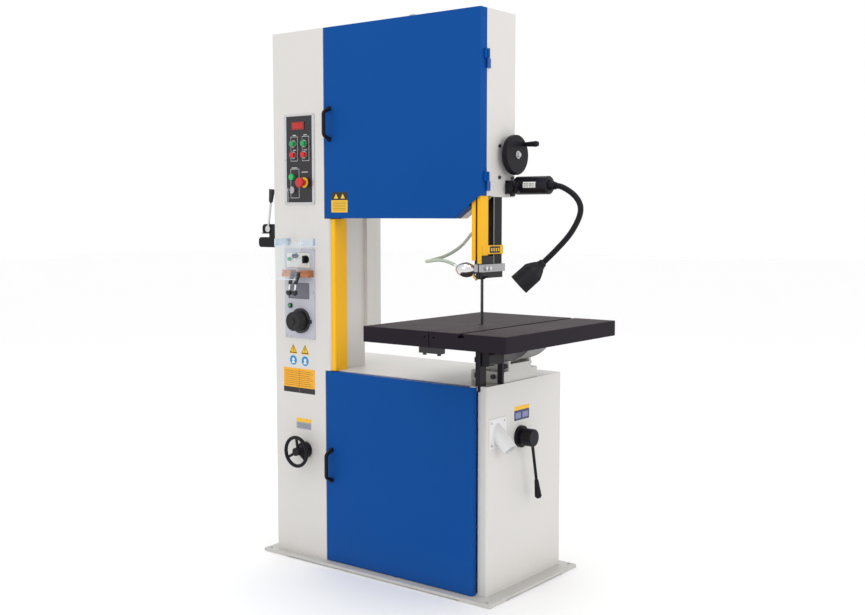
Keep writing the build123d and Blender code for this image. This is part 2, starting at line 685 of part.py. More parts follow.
def upper_guide():
    """Guide holder under the post: block, arm plate with two bolts, and the jaws beside the blade."""
    z_low, z_mid, z_high = post_bottom - 52.0, post_bottom - 27.0, post_bottom
    half = post_size / 2
    slot = block(blade_x - 2.5, blade_x + 2.5, guard_front - 5, wheel_y + 12, z_low - 1, z_high + 40)
    holder = block(guard_left + 2.5, guard_right - 2.5, guard_front + 14, post_y - half - 0.2,
                   z_high, z_high + 28)
    arm = block(guide_arm_left, post_right + 4, guard_front + 12, post_back + 14, z_mid, z_high)
    jaw_back = block(post_x - half, post_right, wheel_y + 12, post_back + 4, z_low + 4, z_mid)
    solids = [(holder - slot), (arm - slot), jaw_back]
    for side, width in ((-1, 15.0), (1, 14.0)):
        near = blade_x + side * (blade_thickness / 2 + 0.5)
        far = near + side * width
        jaw = block(min(near, far), max(near, far), wheel_y - 16, wheel_y + 12, z_low, z_mid)
        bevel = [e for e in jaw.edges().filter_by(Axis.Y)
                 if e.center().Z < z_low + 1 and abs(e.center().X - far) < 1]
        solids.append(chamfer(bevel, 11.0))
    for y in (wheel_y - 4, wheel_y + 18):
        solids.append(rod_x(y, (z_mid + z_high) / 2, 6.5, post_right + 4, post_right + 10))
    return solids


nozzle_x = guard_left - 40.25
nozzle_y = wheel_y - 11.0
nozzle_z = post_bottom - 20.0
nozzle_half = 43.0
nozzle_radius = 27.5


def air_nozzle():
    """Polished barrel-shaped body with a hose barb on the left and a jet that points at the blade."""
    end_x, end_radius = nozzle_half - 4, 11.0
    crown = ThreePointArc((-end_x, end_radius), (0, nozzle_radius), (end_x, end_radius))
    profile = crown + Polyline((end_x, end_radius), (end_x, 0), (-end_x, 0), (-end_x, end_radius))
    body = Pos(nozzle_x, nozzle_y, nozzle_z) * revolve(make_face(profile), Axis.X)
    body += rod_x(nozzle_y, nozzle_z, 8.0, nozzle_x + end_x - 2, guide_arm_left)
    jet_start = (nozzle_x + 28, nozzle_y, nozzle_z - 14)
    jet_end = (nozzle_x + 45, nozzle_y, nozzle_z - 34)
    body += rod_between(jet_start, jet_end, 5.0)
    end = Vector(*hose_points[-1])
    heading = (end - Vector(*hose_points[-2])).normalized()
    inside = end + heading * 16
    return body + rod_between(end, inside, hose_diameter / 2 - 1)


# ---- air hose ----------------------------------------------------------------------
hose_diameter = 12.0
hose_points = [
    (430.0, -197.0, 1308.0), (402.5, -190.0, 1295.5), (366.0, -163.0, 1276.0), (327.0, -133.0, 1257.5),
    (284.0, -108.0, 1237.0), (234.5, -118.5, 1208.0), (204.5, -159.5, 1195.0), (210.0, -210.0, 1191.0),
    (247.5, -243.5, 1193.5), (290.0, -242.0, 1200.0), (326.0, -235.0, 1196.5), (354.0, -230.0, 1184.0)]


def corner_radii(points):
    """Largest tangent arc at each corner: 0.45 of the shorter run over the tangent of half the turn."""
    radii = []
    for before, at, after in zip(points, points[1:], points[2:]):
        run_in, run_out = Vector(*at) - Vector(*before), Vector(*after) - Vector(*at)
        turn = math.radians(run_in.get_angle(run_out))
        radii.append(0.45 * min(run_in.length, run_out.length) / math.tan(turn / 2))
    return radii


def hose_inlet():
    """Fitting on the guard's back that the hose leaves."""
    start = Vector(*hose_points[0])
    heading = (start - Vector(*hose_points[1])).normalized()
    elbow = block(guard_left - 6, guard_left + 12, guard_back, guard_back + 14, start.Z - 4, start.Z + 10)
    return elbow + rod_between(start, start + heading * 12, hose_diameter / 2 - 1)


def air_hose():
    radii = corner_radii(hose_points)
    path = FilletPolyline(*hose_points, radius=radii)
    tube = sweep(Plane(origin=path @ 0, z_dir=path % 0) * Circle(hose_diameter / 2), path=path)
    section = math.pi * hose_diameter ** 2 / 4
    print("hose length", round(path.length, 1), "radii", [round(radius) for radius in radii])
    print("hose volume over section times length", round(tube.volume / (section * path.length), 4))
    return tube


# ---- table -------------------------------------------------------------------------
insert_radius = 45.0
insert_thick = 6.0
slot_width = 16.0
slot_foot = 26.0
slot_depth = 8.0
slot_foot_depth = 7.0
saw_kerf = 3.0


def table():
    """Cast plate with ribs below, a T-shaped mitre slot, a blade slit and a round insert seat."""
    right = table_left + table_width
    plate = block(table_left, right, table_front, table_back, table_bottom, table_top)
    plate = chamfer(plate.edges().filter_by(lambda e: e.center().Z > table_top - 1), 1.0)
    rows = ((table_front + 50, front_y + 20), (front_y + 32, table_back - 160),
            (table_back - 148, table_back - 22))
    for x0, x1 in ((table_left + 22, blade_x - 62), (blade_x + 62, right - 22)):
        for y0, y1 in rows:
            pocket = block(x0, x1, y0, y1, table_bottom - 1, table_top - 22)
            plate -= round_edges(pocket, Axis.Z, 12.0, lambda c: True)
    middle = blade_x + mitre_offset
    plate -= block(middle - slot_width / 2, middle + slot_width / 2, table_front - 1, table_back + 1,
                   table_top - slot_depth, table_top + 1)
    plate -= block(middle - slot_foot / 2, middle + slot_foot / 2, table_front - 1, table_back + 1,
                   table_top - slot_depth - slot_foot_depth, table_top - slot_depth)
    plate -= block(blade_x - saw_kerf / 2, blade_x + saw_kerf / 2, table_front - 1, wheel_y,
                   table_bottom - 1, table_top + 1)
    plate -= rod_z(blade_x, wheel_y, insert_radius, table_top - insert_thick, table_top + 1)
    plate -= rod_z(blade_x, wheel_y, insert_radius - 6, table_bottom - 1, table_top)
    for side in (-1, 1):
        plate -= rod_y(blade_x + side * 19, table_top - 20, 3.0, table_front - 1, table_front + 12)
    return plate


def table_insert():
    """Round plate in the table, slotted for the blade."""
    plate = rod_z(blade_x, wheel_y, insert_radius - 0.1, table_top - insert_thick, table_top)
    return plate - block(blade_x - 3, blade_x + 3, wheel_y - insert_radius - 1, wheel_y + 16,
                         table_top - insert_thick - 1, table_top + 1)


trunnion_radius = 144.0
trunnion_front = front_y + 180.0
trunnion_back = front_y + 302.0


def trunnion():
    """Casting under the table: two cheeks and a curved shoe, turned about the blade at table level."""
    def segment(radius, y0, y1):
        disc = rod_y(blade_x, table_top, radius, y0, y1)
        return disc & block(blade_x - 200, blade_x + 200, y0, y1, table_top - 200, table_bottom)
    body = segment(trunnion_radius, trunnion_front, trunnion_back)
    for y0, y1 in ((trunnion_front + 14, trunnion_front + 54), (trunnion_front + 68, trunnion_back - 14)):
        body -= segment(trunnion_radius - 16, y0, y1)
    body -= rod_y(blade_x, table_top, 84, trunnion_front - 1, trunnion_back + 1)
    clip = block(blade_x - 45, blade_x + 45, table_front + 4, table_front + 29,
                 table_bottom - 20, table_bottom)
    bolts = [rod_z(blade_x + side * 30, table_front + 16.5, 6.5, table_bottom - 27, table_bottom - 20)
             for side in (-1, 1)]
    return [body, clip] + bolts


saddle_left = blade_x - 105.0
saddle_right = cabinet_right - 6.0
saddle_front = front_y + 128.0
saddle_back = front_y + 356.0


def table_saddle():
    """Bracket on the cabinet that cradles the trunnion, with two pairs of ears beside it."""
    lower_top, upper_top, ear_top = cabinet_top + 40, cabinet_top + 64, cabinet_top + 84
    body = block(saddle_left, saddle_right, saddle_front, saddle_back, cabinet_top, lower_top)
    ear_front, ear_back = trunnion_front - 12.5, trunnion_back + 12.5
    body += block(saddle_left + 14, saddle_right, ear_front, ear_back, lower_top, upper_top)
    body += block(saddle_left + 40, saddle_right - 40, trunnion_front, trunnion_back, upper_top, ear_top)
    for y0, y1 in ((ear_front, ear_front + 12), (ear_back - 12, ear_back)):
        body += block(saddle_left + 14, saddle_right, y0, y1, upper_top, ear_top)
    body = round_edges(body, Axis.Y, 8.0, lambda c: c.Z > ear_top - 1 and (c.Y < ear_front + 8
                                                                           or c.Y > ear_back - 8))
    return body - rod_y(blade_x, table_top, trunnion_radius + body_gap, saddle_front - 1, saddle_back + 1)


def lower_blade_guard():
    """Channel round the blade below the table, and the lower guide blocks bolted beside it."""
    x0, x1 = blade_x - 10.0, blade_x + 11.0
    y0, y1 = wheel_y - 23.0, wheel_y + 12.0
    z0, z1 = cabinet_top, table_bottom - 28.0
    channel = block(x0, x1, y0, y1, z0, z1) - block(x0 + 2, x1 - 2, y0 + 2, y1 + 1, z0 - 1, z1 + 1)
    guide = block(x1, x1 + 34, y0 + 6, y1 + 10, z1 - 64, z1 - 12)
    guide = round_edges(guide, Axis.Y, 14.0, lambda c: c.X > x1 + 33)
    bracket = block(x1 + 6, x1 + 26, y1 + 10, saddle_front, z1 - 60, z1 - 20)
    bracket += block(x1 + 6, x1 + 26, saddle_front - 12, saddle_front, cabinet_top, z1 - 20)
    lugs = [block(x0 - 9, x0, y0 + 6, y0 + 24, z, z + 18) for z in (z0 + 30, z0 + 84)]
    return [channel] + [guide + bracket] + lugs


# ---- controls on the column --------------------------------------------------------
panel_x = column_left + 143.0
panel_half = 80.0
panel_bottom = head_bottom + 52.0
panel_height = 346.0
panel_thick = 3.0
panel_face_y = front_y - panel_thick
button_columns = (panel_x - 26.0, panel_x + 32.0)
button_rows = (panel_bottom + 234.0, panel_bottom + 191.0)
button_radius = 11.0
bezel_radius = 13.5
bezel_height = 7.0
button_top = 20.0
button_travel = 3.0
lamp_x = panel_x - 34.0
lamp_z = panel_bottom + 107.0
stop_x = panel_x + 26.0
stop_z = panel_bottom + 85.0
key_z = panel_bottom + 57.0


def control_panel():
    """Framed plate with its display window, bezels, pilot lamp and stop-button collar."""
    x0, x1 = panel_x - panel_half, panel_x + panel_half
    top = panel_bottom + panel_height
    frame = block(x0, x1, panel_face_y, front_y, panel_bottom, top)
    frame = round_edges(frame, Axis.Y, 5.0, lambda c: True)
    frame -= block(x0 + 12, x1 - 12, panel_face_y - 1, panel_face_y + 1.2, panel_bottom + 9, top - 6)
    solids = [frame]
    recess = panel_face_y + 1.2
    display = block(panel_x - 38, panel_x + 28, recess - 3, recess, top - 58, top - 28)
    solids.append(display)
    for x in button_columns:
        for z in button_rows:
            solids.append(ring_y(x, z, bezel_radius, button_radius + body_gap, recess - bezel_height, recess))
    solids.append(rod_y(lamp_x, lamp_z, 12.0, recess - 14, recess))
    solids.append(ring_y(stop_x, stop_z, 20.0, 10.0, recess - 2.5, recess))
    solids.append(ring_y(lamp_x, key_z, 13.0, 8.0, recess - 9, recess))
    return solids


def push_button(x, z):
    """Round-headed button that slides in its bezel."""
    recess = panel_face_y + 1.2
    head = rod_y(x, z, button_radius, recess - button_top, recess - button_travel - 0.5)
    head = fillet(head.edges().filter_by(lambda e: e.center().Y < recess - button_top + 0.5), 2.5)
    return head


def emergency_stop():
    """Mushroom head on a stem."""
    recess = panel_face_y + 1.2
    stem = rod_y(stop_x, stop_z, 9.5, recess - 24, recess - button_travel - 0.5)
    head = rod_y(stop_x, stop_z, 19.0, recess - 34, recess - 20)
    head = fillet(head.edges().filter_by(lambda e: e.center().Y < recess - 33), 6.0)
    return head + stem


def key_switch():
    """Lock barrel with the key in it and a second key on the ring."""
    recess = panel_face_y + 1.2
    barrel = rod_y(lamp_x, key_z, 8.0 - shaft_clearance, recess - 10, recess - 0.5)
    bow = block(lamp_x - 1.2, lamp_x + 1.2, recess - 32, recess - 10, key_z - 9, key_z + 9)
    bow = round_edges(bow, Axis.X, 7.0, lambda c: c.Y < recess - 30)
    bow -= rod_x(recess - 25, key_z, 2.2, lamp_x - 5, lamp_x + 5)
    spare = block(lamp_x - 1.0, lamp_x + 1.0, recess - 30, recess - 20, key_z - 46, key_z - 9)
    return barrel + bow + spare


# ---- blade welder ------------------------------------------------------------------
weld_x = column_left + 139.0
weld_half = 80.0
weld_bottom = cabinet_top + 115.0
weld_height = 351.0
weld_thick = 4.0
weld_face_y = front_y - weld_thick
weld_controls_z = weld_bottom + 310.0
weld_button_x = weld_x - 45.0
weld_stem_radius = 4.0
weld_knob_x = weld_x - 12.0
weld_selector_x = weld_x + 39.0
weld_knob_z = weld_controls_z + 13.0
grinder_x = weld_x + 8.0
grinder_z = weld_bottom + 70.0
grinder_guard_radius = 49.0
grinder_radius = 37.0
jaw_z = weld_bottom + 255.0
lever_xs = (weld_x - 9.0, weld_x + 22.0)
lever_pivot_y = weld_face_y - 36.0
lever_pin_radius = 4.0
knob_bore = 5.0


def weld_plate():
    """Welder front plate with a raised control plate, a sunk window, a lamp and the grinder's guard."""
    x0, x1 = weld_x - weld_half, weld_x + weld_half
    plate = block(x0, x1, weld_face_y, front_y, weld_bottom, weld_bottom + weld_height)
    plate -= block(x0 + 20, x1 - 28, weld_face_y - 1, front_y - 1, weld_bottom + 156, weld_bottom + 217)
    plate += block(x0 + 9, x1 - 18, weld_face_y - 1, weld_face_y, weld_bottom + 274, weld_bottom + 338)
    plate += rod_y(weld_x - 48, weld_bottom + 127, 10.0, weld_face_y - 7, weld_face_y)
    guard = rod_y(grinder_x, grinder_z, grinder_guard_radius, weld_face_y - 11, weld_face_y)
    plate += fillet(guard.edges().filter_by(lambda e: e.center().Y < weld_face_y - 10), 3.0)
    plate += rod_y(grinder_x + 49, grinder_z - 2, 9.0, weld_face_y - 14, weld_face_y)
    for x, z, radius in ((weld_button_x, weld_controls_z, weld_stem_radius),
                         (weld_knob_x, weld_knob_z, knob_bore),
                         (weld_selector_x, weld_controls_z, knob_bore), (grinder_x, grinder_z, 8.0)):
        plate -= rod_y(x, z, radius + shaft_clearance, weld_face_y - 20, front_y + 1)
    return plate


def weld_jaws():
    """Two copper clamp blocks on a cross bar."""
    jaws = []
    for x0, x1 in ((weld_x - 66, weld_x - 18), (weld_x + 33, weld_x + 76)):
        jaw = block(x0, x1, weld_face_y - 30, weld_face_y, jaw_z - 13, jaw_z + 13)
        jaw -= block(x0 - 1, x1 + 1, weld_face_y - 31, weld_face_y - 24, jaw_z + 3, jaw_z + 7)
        jaws.append(jaw)
    bar = block(weld_x - 18, weld_x + 33, weld_face_y - 13, weld_face_y, jaw_z - 6, jaw_z + 6)
    pin = rod_x(lever_pivot_y + 12, jaw_z - 4, lever_pin_radius, weld_x - 18, weld_x + 33)
    return [jaws[0] + bar + pin + jaws[1]]


def weld_lever(x):
    """Clamp lever: a boss round the pin, a tapered arm and a ball knob."""
    pin_y, pin_z = lever_pivot_y + 12, jaw_z - 4
    boss = rod_x(pin_y, pin_z, 9.0, x - 8.5, x + 8.5)
    boss += rod_between((x, pin_y - 4, pin_z - 4), (x, pin_y - 20, pin_z - 34), 8.0, 6.5)
    boss += rod_between((x, pin_y - 19, pin_z - 32), (x, pin_y - 24, pin_z - 62), 4.0)
    boss += Pos(x, pin_y - 25, pin_z - 69) * Sphere(12.0)
    return boss - rod_x(pin_y, pin_z, lever_pin_radius + shaft_clearance, x - 20, x + 20)


def weld_button():
    """Round push button on a stem that goes in through the column's wall."""
    head = rod_y(weld_button_x, weld_controls_z, 7.5, weld_face_y - 13, weld_face_y - 6)
    return head + rod_y(weld_button_x, weld_controls_z, weld_stem_radius, weld_face_y - 7, front_y - 0.5)


def weld_knob():
    """Fluted screw knob."""
    y0, y1 = weld_face_y - 20, weld_face_y - 1 - body_gap
    knob = rod_y(weld_knob_x, weld_knob_z, 9.0, y0, y1)
    for step in range(6):
        angle = math.radians(60 * step)
        flute_x, flute_z = weld_knob_x + 10.5 * math.cos(angle), weld_knob_z + 10.5 * math.sin(angle)
        knob -= rod_y(flute_x, flute_z, 3.0, y0 - 1, y1 + 1)
    return knob + rod_y(weld_knob_x, weld_knob_z, knob_bore, y1 - 1, front_y - 0.5)


def weld_selector():
    """Pointer knob on a round skirt."""
    y1 = weld_face_y - 1 - body_gap
    skirt = rod_y(weld_selector_x, weld_controls_z, 15.0, y1 - 5, y1)
    wing = block(weld_selector_x - 5, weld_selector_x + 5, y1 - 18, y1 - 4,
                 weld_controls_z - 15, weld_controls_z + 15)
    wing = round_edges(wing, Axis.Y, 4.0, lambda c: True)
    return skirt + wing + rod_y(weld_selector_x, weld_controls_z, knob_bore, y1 - 1, front_y - 0.5)


def grinder_wheel():
    """Stepped grinding wheel on its spindle."""
    y1 = weld_face_y - 11 - body_gap
    disc = rod_y(grinder_x, grinder_z, grinder_radius, y1 - 38, y1)
    disc = fillet(disc.edges().filter_by(lambda e: e.center().Y < y1 - 37), 4.0)
    disc += rod_y(grinder_x, grinder_z, 12.0, y1 - 43, y1 - 37)
    return disc + rod_y(grinder_x, grinder_z, 8.0, y1 - 1, front_y - 0.5)


# ---- clear shield, speed wheel, shear, gear lever, chute, lamp ---------------------
shield_xs = (weld_x - 63.0, weld_x + 76.0)
shield_reach = 65.0
shield_z = cabinet_top + 490.0
shield_pin = 3.0
shield_pivot_y = front_y - shield_reach
flap_drop = 144.0
flap_lean = 13.5


def shield_arms():
    """Two clear plates that stand out of the column and hold the flap's pins."""
    arms = []
    for x in shield_xs:
        arm = block(x - 2, x + 2, shield_pivot_y - 8, front_y, shield_z - 15, shield_z + 15)
        arm += block(x - 2, x + 14, front_y - 3, front_y, shield_z - 15, shield_z + 15)
        arms.append(arm - rod_x(shield_pivot_y, shield_z, shield_pin + shaft_clearance, x - 5, x + 5))
    return arms


def shield_flap():
    """Clear flap with a rolled top edge round its pin."""
    x0, x1 = shield_xs[0] + 2.3, shield_xs[1] - 2.3
    sheet = block(x0, x1, -1.5, 1.5, -flap_drop, 0)
    sheet = Rot(-flap_lean, 0, 0) * sheet
    roll = rod_x(0, 0, 4.5, x0, x1) + rod_x(0, 0, shield_pin, x0 - 4, x1 + 4)
    return Pos(0, shield_pivot_y, shield_z) * (sheet + roll)


speed_rim_radius = 56.0
speed_rim_tube = 7.0
speed_rim_y = front_y - 55.0


def speed_handwheel():
    """Three-spoked handwheel with a boss at the column and a spinner knob."""
    x, z = speed_wheel_x, speed_wheel_z
    rim = Pos(x, speed_rim_y, z) * Rot(90, 0, 0) * Torus(speed_rim_radius, speed_rim_tube)
    rim += rod_y(x, z, 16.0, speed_rim_y - 6, speed_rim_y + 22)
    rim += rod_between((x, speed_rim_y + 20, z), (x, front_y - 14, z), 14.0, 24.0)
    rim += rod_y(x, z, 32.0, front_y - 16, front_y - 0.5)
    for step in range(3):
        angle = math.radians(120 * step + 90)
        tip = (x + speed_rim_radius * math.cos(angle), speed_rim_y, z + speed_rim_radius * math.sin(angle))
        rim += rod_between((x, speed_rim_y + 10, z), tip, 6.0, 5.0)
    return rim + rod_y(x, z, speed_shaft_radius, front_y - 2, column_back - column_wall - 20)


shear_z = cabinet_top + 514.0
shear_y = front_y + 18.0
shear_pivot_x = column_left - 44.0
shear_pin = 8.0


def shear_body():
    """Hand shear for blade stock: a plate with an open mouth and two round cheeks."""
    y0, y1 = shear_y - 14, shear_y + 14
    back = block(column_left - 34, column_left, y0, y1, shear_z - 46, shear_z + 46)
    upper = block(column_left - 84, column_left - 20, y0, y1, shear_z + 8, shear_z + 46)
    lower = block(column_left - 94, column_left - 20, y0, y1, shear_z - 46, shear_z - 6)
    body = back + upper + lower
    body = round_edges(body, Axis.Y, 14.0, lambda c: c.X < column_left - 80)
    body -= block(column_left - 100, column_left - 24, y0 - 1, shear_y - 3, shear_z + 12, shear_z + 60)
    return body - rod_y(shear_pivot_x, shear_z + 27, shear_pin + shaft_clearance, shear_y - 5, shear_y + 9)


def shear_lever():
    """Lever in the shear's front recess, with a moulded grip."""
    y0, y1 = shear_y - 13, shear_y - 3 - body_gap
    middle = (y0 + y1) / 2
    boss = rod_y(shear_pivot_x, shear_z + 27, 13.0, y0, y1)
    boss += rod_y(shear_pivot_x, shear_z + 27, shear_pin, y1 - 1, shear_y + 8)
    top = (shear_pivot_x + 17, middle, shear_z + 142)
    arm = rod_between((shear_pivot_x, middle, shear_z + 34), top, 4.5)
    grip_top = (shear_pivot_x + 23, middle, shear_z + 184)
    grip = rod_between((shear_pivot_x + 15.5, middle, shear_z + 134), grip_top, 8.0, 12.0)
    return boss + arm + grip


gear_flange = 40.0
gear_hub = 32.0
gear_hub_length = 62.0
gear_lean = math.radians(12)
gear_arm_x = cabinet_right + 50.0


def gear_lever():
    """Flanged hub with a round lever and a tapered grip, hanging down and a little back."""
    hub = rod_x(shift_y, shift_z, gear_flange, cabinet_right + 0.5, cabinet_right + 12)
    hub += rod_x(shift_y, shift_z, gear_hub - 3, cabinet_right + 12, cabinet_right + 24)
    hub += rod_x(shift_y, shift_z, gear_hub, cabinet_right + 24, cabinet_right + gear_hub_length)
    hub = fillet(hub.edges().filter_by(GeomType.CIRCLE).filter_by(
        lambda e: e.center().X > cabinet_right + gear_hub_length - 1), 4.0)

    def along(distance):
        across, down = distance * math.sin(gear_lean), distance * math.cos(gear_lean)
        return (gear_arm_x, shift_y + across, shift_z - down)
    hub += rod_between(along(20), along(178), 5.5)
    hub += rod_between(along(165), along(228), 7.5, 13.0)
    hub += rod_between(along(227), along(234), 13.0, 9.0)
    return hub + rod_x(shift_y, shift_z, shift_shaft_radius, wheel_x + 56, cabinet_right + 1)


chute_flange = 53.0
chute_throw = 55.0


def chip_chute():
    """Square flange and a tube that slopes out and down."""
    x = cabinet_right
    flange = block(x, x + 2.5, chute_y - chute_flange, chute_y + chute_flange,
                   chute_z - chute_flange, chute_z + chute_flange)
    start = (x - 20, chute_y, chute_z + 20)
    end = (x + chute_throw, chute_y, chute_z - chute_throw)
    keep = block(x, x + 200, chute_y - 100, chute_y + 100, chute_z - 200, chute_z + 200)
    tube = (flange + (rod_between(start, end, chute_radius) & keep)) - rod_between(
        start, (x + chute_throw + 5, chute_y, chute_z - chute_throw - 5), chute_radius - 2)
    return tube


lamp_y = front_y + 196.0
lamp_z0 = head_bottom + 115.5
lamp_base_radius = 32.0
lamp_base_start = head_right + 21.0
lamp_base_end = head_right + 160.0
neck_radius = 10.5
knob_radius = 28.0
swivel_radius = 14.0
neck_steps = [                # from the housing's end face
    (0.5, 0.0, 0.0), (45.0, -1.5, -6.5), (93.0, -8.0, -30.5), (124.0, -16.5, -59.5), (135.0, -25.0, -90.5),
    (127.0, -34.0, -127.5), (103.0, -44.0, -171.5), (63.0, -56.0, -218.5), (17.0, -67.0, -264.5)]
neck_points = [(lamp_base_end + x, lamp_y + y, lamp_z0 + z) for x, y, z in neck_steps]
lamp_mouth = (lamp_base_end - 49.0, lamp_y - 121.0, lamp_z0 - 341.5)


def lamp_mount():
    """Bracket plate, clamp knob and the round transformer housing of the work lamp."""
    housing = rod_x(lamp_y, lamp_z0, lamp_base_radius, lamp_base_start, lamp_base_end)
    housing = chamfer(housing.edges().filter_by(GeomType.CIRCLE), 5.0)
    housing -= rod_x(lamp_y, lamp_z0, swivel_radius + shaft_clearance, lamp_base_end - 12, lamp_base_end + 1)
    plate = block(head_right, head_right + 4, lamp_y - 42, lamp_y + 30, lamp_z0 - 30, lamp_z0 + 18)
    stub = rod_x(lamp_y, lamp_z0, 16.0, head_right + 4, lamp_base_start)
    knob_x, knob_z = head_right + knob_radius + 3, lamp_z0 - 10
    stem = rod_y(knob_x, knob_z, 7.0, lamp_y - 54, lamp_y - 10)
    knob = rod_y(knob_x, knob_z, knob_radius, lamp_y - 48, lamp_y - 34)
    for step in range(6):
        angle = math.radians(60 * step)
        notch_x = knob_x + (knob_radius + 4) * math.cos(angle)
        notch_z = knob_z + (knob_radius + 4) * math.sin(angle)
        knob -= rod_y(notch_x, notch_z, 10.0, lamp_y - 49, lamp_y - 33)
    return [housing + stub + plate + stem + knob + rod_y(knob_x, knob_z, 11.0, lamp_y - 58, lamp_y - 48)]


def lamp_arm():
    """Gooseneck with the swivel spigot that turns in the lamp's housing."""
    path = FilletPolyline(*neck_points, radius=corner_radii(neck_points))
    tube = sweep(Plane(origin=path @ 0, z_dir=path % 0) * Circle(neck_radius), path=path)
    tube += rod_x(lamp_y, lamp_z0, swivel_radius, lamp_base_end - 11, lamp_base_end)
    return tube + rod_x(lamp_y, lamp_z0, swivel_radius + 4, lamp_base_end + body_gap, lamp_base_end + 10)


def lamp_head():
    """Lamp shade: a narrow neck, a flare and a wide barrel with an open mouth."""
    neck = Vector(*neck_points[-1])
    line = Vector(*lamp_mouth) - neck
    plane = Plane(origin=neck, z_dir=line)
    length = line.length
    profile = [(0.0, 0.0), (13.0, 0.0), (15.0, 8.0), (17.0, 22.0), (28.0, 42.0), (36.0, 54.0), (37.5, length),
               (35.0, length), (33.5, 56.0), (24.0, 43.0), (12.0, 30.0), (0.0, 30.0)]
    outline = Polyline(*profile, close=True)
    shade = revolve(make_face(Plane.XZ * outline), Axis.Z)
    return plane * shade


# ---- loose fasteners on the fixed frame --------------------------------------------
eye_x = wheel_x - 56.0
eye_y = wheel_box_back + 66.0


def fasteners():
    """Lifting bow, hinge pins, pivot pins and every screw and bolt head on the fixed frame."""
    eye = Pos(eye_x, eye_y, head_top + 6) * Rot(90, 0, 0) * Torus(25.5, 6.5)
    eye &= block(eye_x - 40, eye_x + 40, eye_y - 10, eye_y + 10, head_top, head_top + 60)
    solids = [eye + block(eye_x - 36, eye_x + 36, eye_y - 12, eye_y + 12, head_top, head_top + 4)]
    for top in upper_hinge_tops:
        leaf = (head_right, upper_hinge_x, upper_hinge_y + 2.5, upper_hinge_y + 16)
        middle = top - knuckle_height - body_gap
        bottom = middle - knuckle_height
        solids.append(knuckle(upper_hinge_x, upper_hinge_y, bottom, middle, pin_radius, leaf))
        solids.append(rod_z(upper_hinge_x, upper_hinge_y, pin_radius, middle - knuckle_height, top + 2))
    for top in electric_hinge_tops:
        solids.append(rod_z(electric_hinge_x, electric_hinge_y, pin_radius,
                            top - 2 * knuckle_height - body_gap, top + 2))
    solids.append(rod_z(lower_pivot_x, lower_pivot_y, pivot_radius, base_top, lower_door_bottom + 6))
    tab = block(lower_pivot_x - 9, lower_pivot_x + 9, lower_pivot_y - 8, cabinet_front,
                cabinet_top - 2.5, cabinet_top)
    tab += rod_z(lower_pivot_x, lower_pivot_y, pivot_radius, lower_door_top - 6, cabinet_top - 2)
    solids.append(tab)
    top = panel_bottom + panel_height
    for x in (panel_x - panel_half + 6, panel_x + panel_half - 6):
        for z in (panel_bottom + 4.5, (panel_bottom + top) / 2, top - 3.5):
            solids.append(rod_y(x, z, 3.0, panel_face_y - 1.5, panel_face_y))
    weld_screws = ((-74, 6), (-50, 4), (50, 4), (74, 6), (-74, 345), (74, 345), (74, 180))
    for across, up in weld_screws:
        solids.append(rod_y(weld_x + across, weld_bottom + up, 3.8, weld_face_y - 2.5, weld_face_y))
    for y in (chute_y - 40, chute_y + 40):
        for z in (chute_z - 40, chute_z + 40):
            solids.append(rod_x(y, z, 4.0, cabinet_right + 2.5, cabinet_right + 5))
    for z in (crank_z + 30, crank_z - 79):
        for y in (pinion_y - 55, pinion_y + 27):
            solids.append(rod_x(y, z, 6.0, head_right, head_right + 5))
    for z in (cabinet_top + 180, cabinet_top + 420):
        solids.append(rod_x(left_guard_back + 6, z, 3.5, column_right + 2, column_right + 4))
    for x in (saddle_left + 34, saddle_right - 38):
        solids.append(rod_y(x, cabinet_top + 22, 9.0, saddle_front - 8, saddle_front))
    for y in (trunnion_front - 12.5, trunnion_back + 12.5):
        y0, y1 = (y - 8, y) if y < 0 else (y, y + 8)
        solids.append(rod_y(saddle_right - 12, cabinet_top + 58, 9.0, y0, y1))
    return solids


# ---- write the nodes ---------------------------------------------------------------
def drive_wheel():
    """Lower wheel keyed to its drive shaft."""
    shaft = rod_y(wheel_x, lower_wheel_z, drive_shaft_radius, hub_front - 6, partition_y + 85)
    cap = rod_y(wheel_x, lower_wheel_z, 34.0, hub_front - 8, hub_front)
    return [wheel(lower_wheel_z, drive_shaft_radius), shaft + cap]


def gearbox_pulley():
    shaft = rod_y(wheel_x, input_z, input_shaft_radius, gearbox_back - 58, pulley_y0 + 1)
    return pulley(wheel_x, input_z, gearbox_pulley_radius) + shaft


def motor_pulley():
    shaft = rod_y(motor_x, motor_z, input_shaft_radius, pulley_y0 + pulley_width - 1, motor_front + 38)
    return pulley(motor_x, motor_z, motor_pulley_radius) + shaft


write("base_plate", base_plate())
write("column", column())
write("lower_cabinet", lower_cabinet())
write("head_housing", head_housing())
write("upper_door", upper_door())
write("upper_door_handle", bow_handle(head_bottom + 354.0, 128.0))
write("lower_door", lower_door())
write("lower_door_handle", bow_handle(base_top + 381.0, 132.0))
write("electrical_cabinet", electrical_cabinet())
write("electrical_door", electrical_door())
write("upper_wheel", wheel(upper_wheel_z, bearing_radius + shaft_clearance))
write("upper_tyre", tyre(upper_wheel_z))
write("tension_carriage", *tension_carriage())
write("lower_wheel", *drive_wheel())
write("lower_tyre", tyre(lower_wheel_z))
write("blade", blade())
write("gearbox", gearbox())
write("gearbox_pulley", gearbox_pulley())
write("motor", motor())
write("motor_pulley", motor_pulley())
write("drive_belt", drive_belt())
write("left_blade_guard", left_blade_guard())
write("upper_blade_guard", upper_blade_guard())
write("guide_post", guide_post())
write("upper_guide", *upper_guide())
write("air_nozzle", air_nozzle(), hose_inlet())
write("air_hose", air_hose())
write("height_handwheel", height_handwheel(), pinion())
write("crank_grip", crank_grip())
write("table", table())
write("table_insert", table_insert())
write("table_trunnion", *trunnion())
write("table_saddle", table_saddle())
write("lower_blade_guard", *lower_blade_guard())
write("control_panel", *control_panel())
